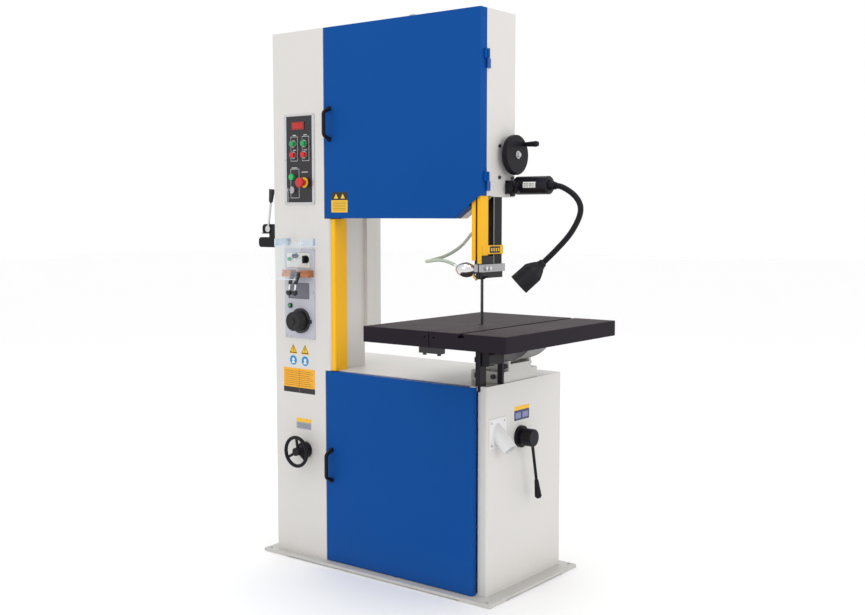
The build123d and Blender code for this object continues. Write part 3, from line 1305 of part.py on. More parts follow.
for column_index, column_name in enumerate(("left", "right")):
    for row_index, row_name in enumerate(("start", "stop")):
        write(f"{row_name}_button_{column_name}",
              push_button(button_columns[column_index], button_rows[row_index]))
write("emergency_stop", emergency_stop())
write("key_switch", key_switch())
write("weld_plate", weld_plate())
write("weld_jaws", *weld_jaws())
for lever_x, lever_name in zip(lever_xs, ("left", "right")):
    write(f"weld_lever_{lever_name}", weld_lever(lever_x))
write("weld_button", weld_button())
write("weld_knob", weld_knob())
write("weld_selector", weld_selector())
write("grinder_wheel", grinder_wheel())
write("shield_arms", *shield_arms())
write("shield_flap", shield_flap())
write("speed_handwheel", speed_handwheel())
write("shear_body", shear_body())
write("shear_lever", shear_lever())
write("gear_lever", gear_lever())
write("chip_chute", chip_chute())
write("lamp_mount", *lamp_mount())
write("lamp_arm", lamp_arm())
write("lamp_head", lamp_head())
write("fasteners", *fasteners())
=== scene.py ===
"""Looks of the vertical band saw: finishes, labels, blade teeth, hose, gooseneck, camera and light."""

import logging
import math
from collections.abc import Callable
from dataclasses import dataclass
from enum import Enum

import bmesh
import bpy
import numpy as np
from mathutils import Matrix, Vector


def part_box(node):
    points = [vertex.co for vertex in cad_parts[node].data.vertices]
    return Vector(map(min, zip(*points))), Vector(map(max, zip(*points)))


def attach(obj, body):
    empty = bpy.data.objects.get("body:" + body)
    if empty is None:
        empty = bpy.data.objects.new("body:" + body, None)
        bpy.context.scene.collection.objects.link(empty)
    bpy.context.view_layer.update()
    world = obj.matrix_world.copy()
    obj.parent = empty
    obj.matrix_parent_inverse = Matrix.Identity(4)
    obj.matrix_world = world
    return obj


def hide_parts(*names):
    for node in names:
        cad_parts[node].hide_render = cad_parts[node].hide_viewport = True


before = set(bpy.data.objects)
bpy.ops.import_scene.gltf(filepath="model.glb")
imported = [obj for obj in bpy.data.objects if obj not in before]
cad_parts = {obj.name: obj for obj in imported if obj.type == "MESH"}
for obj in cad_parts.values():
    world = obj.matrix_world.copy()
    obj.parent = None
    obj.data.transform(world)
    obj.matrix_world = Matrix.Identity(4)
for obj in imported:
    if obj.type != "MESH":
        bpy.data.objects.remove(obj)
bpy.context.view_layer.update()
LOG = logging.getLogger("band_saw")

Colour = tuple[float, float, float]
Point = tuple[float, float, float]
Span = tuple[float, float]
Operand = "Value | float"
MM = 0.001
LABEL_HEIGHT = 0.35


# ---- shader expressions ------------------------------------------------------------
class Value:
    """A socket of a shader that can be used in Python expressions."""

    def __init__(self, shader: "Shader", socket: bpy.types.NodeSocket) -> None:
        """Keep the shader and the socket."""
        self.shader = shader
        self.socket = socket

    def _math(self, operation: str, first: Operand, second: Operand) -> "Value":
        """Add one Math node.

        Args:
            operation: the Math node's operation.
            first: first operand.
            second: second operand.

        Returns:
            The node's result.
        """
        return self.shader.node("ShaderNodeMath", {"operation": operation}, {0: first, 1: second})

    @staticmethod
    def _operator(operation: str, reflected: bool = False) -> Callable[["Value", Operand], "Value"]:
        """Make an operator that adds a Math node, with its operands swapped where it is reflected."""
        def operator(self: "Value", other: Operand) -> "Value":
            """Add the node."""
            return self._math(operation, *((other, self) if reflected else (self, other)))
        return operator

    __add__ = __radd__ = _operator("ADD")
    __mul__ = __rmul__ = _operator("MULTIPLY")
    __sub__, __rsub__ = _operator("SUBTRACT"), _operator("SUBTRACT", reflected=True)
    __gt__, __lt__ = _operator("GREATER_THAN"), _operator("LESS_THAN")

    def clamp(self, low: float, high: float) -> "Value":
        """Limit to a range.

        Args:
            low: least result.
            high: greatest result.

        Returns:
            The limited value.
        """
        return self._math("MINIMUM", self._math("MAXIMUM", self, low), high)


class Shader:
    """One material's node tree, with a Principled shader at its end."""

    def __init__(self, name: str, **constants: float) -> None:
        """Make the material.

        Args:
            name: the material's name.
            constants: Principled socket names, with _ for spaces, and their fixed values.
        """
        self.material = bpy.data.materials.new(name)
        self.material.use_nodes = True
        self.tree = self.material.node_tree
        self.principled = self.tree.nodes["Principled BSDF"]
        for socket, value in constants.items():
            self.principled.inputs[socket.replace("_", " ")].default_value = value

    def node(self, kind: str, settings: dict, inputs: dict, output: int | str = 0) -> Value:
        """Add any node.

        Args:
            kind: the node's type.
            settings: attributes, which are set first.
            inputs: socket name or index to a Value, number, vector or colour.
            output: the output's name or index.

        Returns:
            The chosen output.
        """
        node = self.tree.nodes.new(kind)
        for key, value in settings.items():
            setattr(node, key, value)
        for key, value in inputs.items():
            if isinstance(value, Value):
                self.tree.links.new(value.socket, node.inputs[key])
            else:
                node.inputs[key].default_value = value
        return Value(self, node.outputs[output])

    def coordinates(self) -> Value:
        """Object coordinates."""
        return self.node("ShaderNodeTexCoord", {}, {}, "Object")

    def axes(self) -> tuple[Value, Value, Value]:
        """Object coordinates as three numbers."""
        split = self.node("ShaderNodeSeparateXYZ", {}, {"Vector": self.coordinates()}).socket.node
        return tuple(Value(self, output) for output in split.outputs)

    def noise(self, scale: float, detail: float = 3.0, stretch: Point = (1.0, 1.0, 1.0)) -> Value:
        """Noise between 0 and 1.

        Args:
            scale: features per metre.
            detail: octaves.
            stretch: factor along each axis.

        Returns:
            The noise.
        """
        place = self.node("ShaderNodeMapping", {}, {"Vector": self.coordinates(), "Scale": stretch})
        inputs = {"Vector": place, "Scale": scale, "Detail": detail, "Roughness": 0.55}
        return self.node("ShaderNodeTexNoise", {}, inputs, "Fac")

    def mix(self, mask: Operand, first: Value | Colour, second: Value | Colour) -> Value:
        """Blend two colours.

        Args:
            mask: 0 for the first, 1 for the second.
            first: a Value or a colour.
            second: a Value or a colour.

        Returns:
            The blended colour.
        """
        first, second = (side if isinstance(side, Value) else (*side, 1.0) for side in (first, second))
        settings = {"data_type": "RGBA", "clamp_factor": True}
        return self.node("ShaderNodeMix", settings, {0: mask, 6: first, 7: second}, 2)

    def bump(self, height: Value, strength: float, distance: float) -> None:
        """Bump the surface.

        Args:
            height: the height, 0 to 1.
            strength: 0 to 1.
            distance: metres for a height of 1.
        """
        inputs = {"Height": height, "Strength": strength, "Distance": distance}
        self.feed("Normal", self.node("ShaderNodeBump", {}, inputs))

    def feed(self, socket: str, value: Operand) -> None:
        """Link a value into the Principled shader, or set it where it is a number."""
        if isinstance(value, Value):
            self.tree.links.new(value.socket, self.principled.inputs[socket])
        else:
            self.principled.inputs[socket].default_value = value


# ---- finishes ----------------------------------------------------------------------
MADE: dict[str, bpy.types.Material] = {}


@dataclass(frozen=True)
class Region:
    """A box in which a finish differs.

    Args:
        low: lowest corner, metres.
        high: highest corner, metres.
        colour: colour inside.
        roughness: roughness inside.
        metallic: metalness inside.
        line: where above 0, only an outline this wide is coloured, in X and Z.
    """

    low: Point
    high: Point
    colour: Colour
    roughness: float = 0.4
    metallic: float = 0.0
    line: float = 0.0

    @classmethod
    def front(cls, x: Span, z: Span, colour: Colour, roughness: float = 0.4,
              depth: Span = (-1000.0, 0.0), line: float = 0.0) -> "Region":
        """Region on faces that look to the front.

        Args:
            x: left and right, millimetres.
            z: bottom and top, millimetres.
            colour: colour inside.
            roughness: roughness inside.
            depth: front and back, millimetres.
            line: width of an outline, millimetres, or 0 for the whole box.

        Returns:
            The region.
        """
        low, high = ((x[end] * MM, depth[end] * MM, z[end] * MM) for end in (0, 1))
        return cls(low, high, colour, roughness, line=line * MM)

    def mask(self, shader: Shader) -> Value:
        """One inside the box, or on its outline."""
        whole = self._box(shader, 0.0)
        if self.line <= 0:
            return whole
        return (whole - self._box(shader, self.line)).clamp(0.0, 1.0)

    def _box(self, shader: Shader, inset: float) -> Value:
        """One inside the box drawn in along X and Z by inset."""
        inside = 1.0
        for axis, low, high, step in zip(shader.axes(), self.low, self.high, (inset, 0.0, inset)):
            inside = (axis > low + step) * (axis < high - step) * inside
        return inside


@dataclass(frozen=True)
class Finish:
    """A surface finish, made into a material once.

    Args:
        name: material name.
        colour: main colour.
    """

    name: str
    colour: Colour

    def material(self) -> bpy.types.Material:
        """Build the material, or reuse the one with this name."""
        if self.name not in MADE:
            MADE[self.name] = self._shader().material
        return MADE[self.name]

    def _shader(self) -> Shader:
        """Lay out the nodes."""
        raise NotImplementedError

    @staticmethod
    def _surface(shader: Shader, regions: tuple[Region, ...], colour: Value, rough: Value,
                 metal: Operand) -> tuple[Value, Value]:
        """Lay regions over a finish and feed the metalness.

        Args:
            shader: the shader.
            regions: boxes with another finish.
            colour: colour outside them.
            rough: roughness outside them.
            metal: metalness outside them.

        Returns:
            Colour and roughness over the whole surface.
        """
        for region in regions:
            mask = region.mask(shader)
            colour = shader.mix(mask, colour, region.colour)
            rough = rough + mask * (region.roughness - rough)
            metal = mask * region.metallic + (1.0 - mask) * metal
        shader.feed("Metallic", metal)
        return colour, rough


@dataclass(frozen=True)
class Paint(Finish):
    """Sprayed paint on metal, or moulded plastic: slight mottling, fine peel, dust low down.

    Args:
        roughness: mean roughness.
        peel: depth of the fine texture, metres.
        peel_scale: features of the fine texture per metre.
        mottle: how much the colour varies, 0 to 1.
        dust: how strong the dust near the floor is, 0 to 1.
        coat: weight of the clear coat.
        specular: strength of the plain reflection.
        regions: boxes with another finish.
    """

    roughness: float = 0.38
    peel: float = 0.00004
    peel_scale: float = 420.0
    mottle: float = 0.06
    dust: float = 0.0
    coat: float = 0.15
    specular: float = 0.3
    regions: tuple[Region, ...] = ()

    def _shader(self) -> Shader:
        """Lay out the nodes: a cloudy colour, the regions, dust that fades upwards, and the peel."""
        shader = Shader(self.name, Coat_Weight=self.coat, Coat_Roughness=0.12,
                        Specular_IOR_Level=self.specular)
        darker = tuple(channel * (1.0 - 2.2 * self.mottle) for channel in self.colour)
        cloudy = shader.mix(shader.noise(3.2), darker, self.colour)
        rough = shader.noise(14.0, 4.0) * 0.16 + (self.roughness - 0.08)
        colour, rough = self._surface(shader, self.regions, cloudy, rough, 0.0)
        if self.dust > 0:
            low = ((0.16 - shader.axes()[2]) * 5.0).clamp(0.0, 1.0)
            colour = shader.mix(low * shader.noise(26.0, 5.0) * self.dust, colour, Shade.DUST)
        shader.feed("Base Color", colour)
        shader.feed("Roughness", rough)
        shader.bump(shader.noise(self.peel_scale, 2.0), 0.5, self.peel)
        return shader


@dataclass(frozen=True)
class Metal(Finish):
    """Bare metal with tool marks along one axis.

    Args:
        roughness: mean roughness.
        lay: stretch of the marks, small along the marks and large across them.
        depth: depth of the marks, metres.
        stain: how much darker the stained places are, 0 to 1.
        metallic: metalness.
        specular: strength of the plain reflection.
        regions: boxes with another finish.
    """

    roughness: float = 0.3
    lay: Point = (1.0, 1.0, 1.0)
    depth: float = 0.00002
    stain: float = 0.1
    metallic: float = 1.0
    specular: float = 0.5
    regions: tuple[Region, ...] = ()

    def _shader(self) -> Shader:
        """Lay out the nodes: marks and patches in the colour, roughness and bump, and the regions."""
        shader = Shader(self.name, Specular_IOR_Level=self.specular)
        marks = shader.noise(180.0, 4.0, self.lay)
        patches = shader.noise(9.0, 4.0)
        stained = tuple(channel * (1.0 - self.stain) for channel in self.colour)
        colour = shader.mix(patches * 0.6 + marks * 0.4, stained, self.colour)
        rough = marks * 0.18 + patches * 0.1 + (self.roughness - 0.14)
        colour, rough = self._surface(shader, self.regions, colour, rough, self.metallic)
        shader.feed("Base Color", colour)
        shader.feed("Roughness", rough.clamp(0.04, 1.0))
        shader.bump(marks, 0.6, self.depth)
        return shader


@dataclass(frozen=True)
class Clear(Finish):
    """Clear plastic sheet with faint scratches and pale cut edges.

    Args:
        edge: outline region where the sheet's cut edge looks nearly solid.
        alpha: how solid the sheet itself looks.
    """

    edge: Region
    alpha: float

    def _shader(self) -> Shader:
        """Lay out the nodes: scratches in colour and roughness, and a nearly solid edge."""
        shader = Shader(self.name, IOR=1.49)
        scratch = shader.noise(260.0, 3.0, (0.2, 1.0, 3.0))
        solid = self.edge.mask(shader) * 0.75 + self.alpha
        shader.feed("Base Color", shader.mix(scratch, self.colour, (0.93, 0.97, 1.0)))
        shader.feed("Roughness", scratch * 0.12 + 0.04)
        shader.feed("Alpha", solid.clamp(0.0, 1.0))
        shader.bump(scratch, 0.2, 0.00001)
        return shader


# ---- surfaces ----------------------------------------------------------------------
@dataclass(frozen=True)
class Stock:
    """What a piece is made of and what it moves with.

    Args:
        finish: its finish.
        slot: the record's material slot; not used.
        body: the CAD body that it rides on.
    """

    finish: Finish
    slot: str
    body: str = "root"


def add_mesh(name: str, points: np.ndarray, faces: list[list[int]], stock: Stock,
             smooth: float = 35.0) -> bpy.types.Object:
    """Put points and faces into a piece, merge its poles, turn its faces outwards and let it ride.

    Args:
        name: the piece's name.
        points: places in metres, in any grid.
        faces: point numbers of each face.
        stock: what it is made of.
        smooth: edges flatter than this many degrees are smooth.

    Returns:
        The piece.
    """
    mesh = bpy.data.meshes.new(name)
    mesh.from_pydata(points.reshape(-1, 3).tolist(), [], faces)
    work = bmesh.new()
    work.from_mesh(mesh)
    bmesh.ops.remove_doubles(work, verts=work.verts, dist=1e-6)
    bmesh.ops.holes_fill(work, edges=[edge for edge in work.edges if edge.is_boundary], sides=0)
    bmesh.ops.recalc_face_normals(work, faces=work.faces)
    work.to_mesh(mesh)
    work.free()
    mesh.polygons.foreach_set("use_smooth", np.ones(len(mesh.polygons), bool))
    mesh.set_sharp_from_angle(angle=math.radians(smooth))
    mesh.materials.append(stock.finish.material())
    piece = bpy.data.objects.new(name, mesh)
    bpy.context.scene.collection.objects.link(piece)
    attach(piece, stock.body)
    LOG.info("%s: %d faces on %s", name, len(mesh.polygons), stock.body)
    return piece


def grid_faces(rows: int, columns: int, wrap_rows: bool = False) -> list[list[int]]:
    """Quads of a grid of points whose last column meets its first.

    Face (i, j) joins points (i, j), (i+1, j), (i+1, j+1) and (i, j+1), counted round where the grid wraps.

    Args:
        rows: points along the first parameter.
        columns: points along the second parameter.
        wrap_rows: whether the last row meets the first.

    Returns:
        Point numbers of each quad.
    """
    i, j = np.meshgrid(np.arange(rows if wrap_rows else rows - 1), np.arange(columns), indexing="ij")
    after_i, after_j = (i + 1) % rows, (j + 1) % columns
    corners = [i * columns + j, after_i * columns + j, after_i * columns + after_j, i * columns + after_j]
    return np.stack(corners, axis=-1).reshape(-1, 4).tolist()


def lathe(name: str, profile: list[Span], start: Point, end: Point, stock: Stock,
          segments: int, flutes: int = 0, flute_depth: float = 0.0) -> bpy.types.Object:
    """Turned piece whose profile starts and ends on its axis.

    A point is start + d * axis + r * (1 + s * cos(n * a)) * (cos a * first + sin a * second), for each
    (r, d) of the profile and each angle a, with n flutes of relative depth s.

    Args:
        name: the piece's name.
        profile: (radius, distance) pairs in millimetres.
        start: where the distance is 0, metres.
        end: a point further along the axis, metres.
        stock: what it is made of.
        segments: points round.
        flutes: number of flutes round the rim.
        flute_depth: their depth as a share of the radius.

    Returns:
        The piece.
    """
    table = np.array(profile, float) * MM
    origin = np.array(start, float)
    axis = (np.array(end, float) - origin) / math.dist(start, end)
    reference = np.array((0.0, 1.0, 0.0)) if abs(axis[1]) < 0.9 else np.array((1.0, 0.0, 0.0))
    first = np.cross(axis, reference)
    first /= np.linalg.norm(first)
    angle = np.linspace(0.0, 2 * math.pi, segments, endpoint=False)
    reach = 1.0 + flute_depth * np.cos(flutes * angle)
    ring = (np.cos(angle) * reach)[:, None] * first + (np.sin(angle) * reach)[:, None] * np.cross(axis, first)
    points = origin + table[:, 1][:, None, None] * axis + table[:, 0][:, None, None] * ring[None]
    return add_mesh(name, points, grid_faces(len(table), segments), stock)


def smooth_line(points: np.ndarray) -> tuple[np.ndarray, np.ndarray]:
    """Smooth line through a list of points, and the run along it.

    Each span is Catmull-Rom: half of 2b + (c - a)t + (2a - 5b + 4c - d)t^2 + (3b - a - 3c + d)t^3.

    Args:
        points: (n, 3) places.

    Returns:
        (m, 3) places and (m,) distances from the start.
    """
    padded = np.vstack([2 * points[0] - points[1], points, 2 * points[-1] - points[-2]])
    a, b, c, d = padded[:-3, None], padded[1:-2, None], padded[2:-1, None], padded[3:, None]
    t = np.linspace(0.0, 1.0, 40, endpoint=False)[None, :, None]
    bent = (2 * a - 5 * b + 4 * c - d) * t ** 2 + (3 * b - a - 3 * c + d) * t ** 3
    line = np.vstack([0.5 * (2 * b + (c - a) * t + bent).reshape(-1, 3), points[-1:]])
    return line, np.concatenate([[0.0], np.cumsum(np.linalg.norm(np.diff(line, axis=0), axis=1))])


def pipe_points(line: np.ndarray, radii: np.ndarray, segments: int) -> np.ndarray:
    """Points of a tube along a line that never runs along Y.

    Round each point p with tangent t, a point is p + r * (cos a * n + sin a * (t x n)), where n is Y less
    its share along t, made a unit.

    Args:
        line: (n, 3) centre line.
        radii: (n,) radius at each point.
        segments: points round.

    Returns:
        (n, segments, 3) points.
    """
    tangent = np.gradient(line, axis=0)
    tangent /= np.linalg.norm(tangent, axis=1)[:, None]
    up = np.array((0.0, 1.0, 0.0))
    normal = up - (tangent @ up)[:, None] * tangent
    normal /= np.linalg.norm(normal, axis=1)[:, None]
    side = np.cross(tangent, normal)
    angle = np.linspace(0.0, 2 * math.pi, segments, endpoint=False)
    ring = np.cos(angle)[None, :, None] * normal[:, None] + np.sin(angle)[None, :, None] * side[:, None]
    return line[:, None] + radii[:, None, None] * ring


def rounded(corners: list[Span], radius: float) -> np.ndarray:
    """Outline with rounded corners.

    Each corner is replaced by the curve (1-t)^2 a + 2t(1-t) c + t^2 b, where c is the corner and a and b lie
    a radius away from it along its two edges.

    Args:
        corners: places across and up, millimetres.
        radius: how far from the corner the rounding starts, millimetres.

    Returns:
        (n, 2) places in metres.
    """
    points = np.array(corners, float)
    before, after = np.roll(points, 1, axis=0), np.roll(points, -1, axis=0)
    unit_a = (before - points) / np.linalg.norm(before - points, axis=1)[:, None]
    unit_b = (after - points) / np.linalg.norm(after - points, axis=1)[:, None]
    t = np.linspace(0.0, 1.0, 6)[None, :, None]
    start, end = (points + radius * unit_a)[:, None], (points + radius * unit_b)[:, None]
    curve = (1 - t) ** 2 * start + 2 * t * (1 - t) * points[:, None] + t ** 2 * end
    return curve.reshape(-1, 2) * MM


def plate(x: Span, z: Span, radius: float) -> np.ndarray:
    """Outline of a rectangle with rounded corners; ends across, ends up and radius in millimetres."""
    return rounded([(x[0], z[0]), (x[1], z[0]), (x[1], z[1]), (x[0], z[1])], radius)


def circle(x: float, z: float, radius: float, count: int = 40) -> np.ndarray:
    """Outline of a disc: centre plus radius times (cos a, sin a); millimetres in, metres out."""
    angle = np.linspace(0.0, 2 * math.pi, count, endpoint=False)
    return np.stack([x + radius * np.cos(angle), z + radius * np.sin(angle)], axis=1) * MM


class Side(Enum):
    """Which way a face with labels looks."""

    FRONT = "front"
    RIGHT = "right"


@dataclass(frozen=True)
class Board:
    """A flat face that labels and marks lie on.

    Args:
        side: which way it looks.
        face: its place along its normal, metres.
        body: the CAD body that it belongs to.
    """

    side: Side
    face: float
    body: str = "root"

    def _place(self, outline: np.ndarray, lift: float) -> np.ndarray:
        """Points of an outline, lifted off the face by so many millimetres."""
        depth = np.full(len(outline), lift * MM)
        if self.side is Side.FRONT:
            return np.stack([outline[:, 0], self.face - depth, outline[:, 1]], axis=1)
        return np.stack([self.face + depth, outline[:, 0], outline[:, 1]], axis=1)

    def stick(self, name: str, outline: np.ndarray, bottom: float, top: float, finish: Finish,
              slot: str) -> None:
        """Lay a thin plate on the face.

        Args:
            name: the piece's name.
            outline: (n, 2) places across and up, metres.
            bottom: height of its back above the face, millimetres.
            top: height of its front above the face, millimetres.
            finish: its finish.
            slot: the record's material slot.
        """
        count = len(outline)
        ends = [list(range(count)), list(range(2 * count - 1, count - 1, -1))]
        points = np.vstack([self._place(outline, bottom), self._place(outline, top)])
        add_mesh(name, points, grid_faces(2, count) + ends, Stock(finish, slot, self.body), 20.0)

    def label(self, name: str, across: Span, up: Span, colour: Colour, slot: str,
              regions: tuple[Region, ...], roughness: float = 0.4, corner: float = 3.0,
              height: float = LABEL_HEIGHT) -> None:
        """Lay a printed label with rounded corners on the face.

        Args:
            name: the label's and its finish's name.
            across: its ends across, millimetres.
            up: its ends up, millimetres.
            colour: its ground.
            slot: the record's material slot.
            regions: what is printed on it.
            roughness: its roughness.
            corner: how far from its corners the rounding starts, millimetres.
            height: its thickness, millimetres.
        """
        finish = Paint(name, colour, roughness, coat=0.1, regions=regions)
        self.stick(name, plate(across, up, corner), 0.0, height, finish, slot)


def dress(node: str, finish: Finish) -> None:
    """Give a CAD node a finish."""
    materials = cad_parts[node].data.materials
    materials.clear()
    materials.append(finish.material())
    LOG.info("%s: %s", node, finish.name)


def box_mm(node: str) -> tuple[np.ndarray, np.ndarray]:
    """Lowest and highest corners of a CAD node, millimetres."""
    low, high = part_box(node)
    return np.array(low) / MM, np.array(high) / MM


# ---- colours and shared finishes ---------------------------------------------------
class Shade:
    """Colours, linear."""

    CREAM = (0.66, 0.64, 0.615)
    BLUE = (0.003, 0.070, 0.300)
    YELLOW = (0.93, 0.49, 0.014)
    WHITE = (0.82, 0.82, 0.80)
    BLACK = (0.010, 0.0095, 0.014)
    INK = (0.02, 0.02, 0.022)
    LAVENDER = (0.50, 0.50, 0.57)
    ORANGE = (0.90, 0.42, 0.02)
    AMBER = (0.86, 0.50, 0.03)
    SKY = (0.01, 0.27, 0.60)
    DUST = (0.30, 0.27, 0.23)


BODY = Paint("body_paint", Shade.CREAM, 0.40, mottle=0.015, dust=0.2, coat=0.08)
DOOR = Paint("door_paint", Shade.BLUE, 0.42, mottle=0.03, dust=0.05, coat=0.0, peel=0.00003, specular=0.06)
GUARD = Paint("guard_paint", Shade.YELLOW, 0.38, mottle=0.03, coat=0.03, specular=0.15)
CASTING = Paint("casting_paint", (0.60, 0.59, 0.56), 0.48, peel=0.00035, peel_scale=210.0, mottle=0.05)
BLACK_PLASTIC = Paint("black_plastic", Shade.BLACK, 0.42, peel=0.00006, peel_scale=900.0, mottle=0.1,
                      coat=0.02, specular=0.14)
GREEN_PLASTIC = Paint("green_plastic", (0.01, 0.30, 0.09), 0.25, mottle=0.03, coat=0.5)
RED_PLASTIC = Paint("red_plastic", (0.55, 0.012, 0.015), 0.25, mottle=0.03, coat=0.5)
BLACK_STEEL = Metal("black_steel", (0.016, 0.015, 0.018), 0.34, (1.0, 1.0, 0.12), stain=0.3, metallic=0.4,
                    specular=0.22)
CHROME = Metal("polished_steel", (0.70, 0.70, 0.71), 0.17, depth=0.000004, stain=0.06)
ZINC = Metal("zinc_plated", (0.60, 0.60, 0.60), 0.34, stain=0.15)
IRON = Metal("cast_iron", (0.26, 0.25, 0.245), 0.5, depth=0.00012, stain=0.3)
MARK_WHITE = Paint("mark_white", Shade.WHITE, 0.5, coat=0.0)
MARK_BLACK = Paint("mark_black", Shade.INK, 0.5, coat=0.0)
MARK_YELLOW = Paint("mark_yellow", (0.90, 0.55, 0.02), 0.5, coat=0.0)


# ---- stage -------------------------------------------------------------------------
@dataclass
class Stage:
    """Floor, light and camera; places in metres, angles in degrees, the lens in millimetres."""

    half_floor: float = 30.0
    eye: Point = (2.6936, -3.3805, 1.3587)
    yaw: float = 37.71
    pitch: float = 4.75
    lens: float = 46.39
    lights: tuple[tuple[str, Point, Point, float, float], ...] = (
        ("key", (-1.6, -5.2, 3.6), (-0.1, -0.2, 1.1), 3.0, 16.0),
        ("right", (5.2, -0.6, 2.8), (0.3, 0.0, 1.0), 3.0, 40.0),
        ("top", (0.3, -1.2, 5.2), (0.1, -0.1, 0.8), 3.6, 36.0),
        ("back", (-3.0, 4.2, 3.6), (0.0, 0.0, 1.2), 3.2, 10.0),
    )

    def build(self) -> None:
        """Make the floor, the lights, the world and the camera."""
        finish = Paint("pale_floor", (0.99, 0.99, 0.99), 0.6, peel=0.0, mottle=0.002, coat=0.0)
        corners = np.array([(-1, -1, 0), (1, -1, 0), (1, 1, 0), (-1, 1, 0)]) * self.half_floor
        mesh = bpy.data.meshes.new("floor")
        mesh.from_pydata(corners.tolist(), [], [(0, 1, 2, 3)])
        mesh.materials.append(finish.material())
        floor = bpy.data.objects.new("floor", mesh)
        bpy.context.scene.collection.objects.link(floor)
        for name, place, target, size, power in self.lights:
            lamp = bpy.data.lights.new(name, "AREA")
            lamp.size = size
            lamp.energy = power
            self._hang(lamp, place, Vector(target) - Vector(place))
        world = bpy.data.worlds.new("studio")
        world.use_nodes = True
        background = world.node_tree.nodes["Background"]
        background.inputs["Color"].default_value = (1.0, 1.0, 1.0, 1.0)
        background.inputs["Strength"].default_value = 1.0
        scene = bpy.context.scene
        scene.world = world
        scene.view_settings.view_transform = "Standard"
        lens = bpy.data.cameras.new("camera")
        lens.lens = self.lens
        lens.sensor_width = 36.0
        lens.sensor_fit = "HORIZONTAL"
        yaw, pitch = math.radians(self.yaw), math.radians(self.pitch)
        aim = Vector((-math.sin(yaw) * math.cos(pitch), math.cos(yaw) * math.cos(pitch), -math.sin(pitch)))
        scene.camera = self._hang(lens, self.eye, aim)

    @staticmethod
    def _hang(data: bpy.types.ID, place: Point, aim: Vector) -> bpy.types.Object:
        """Put a light or a camera at a place, looking along aim."""
        holder = bpy.data.objects.new(data.name, data)
        holder.location = place
        holder.rotation_euler = aim.to_track_quat("-Z", "Y").to_euler()
        bpy.context.scene.collection.objects.link(holder)
        return holder


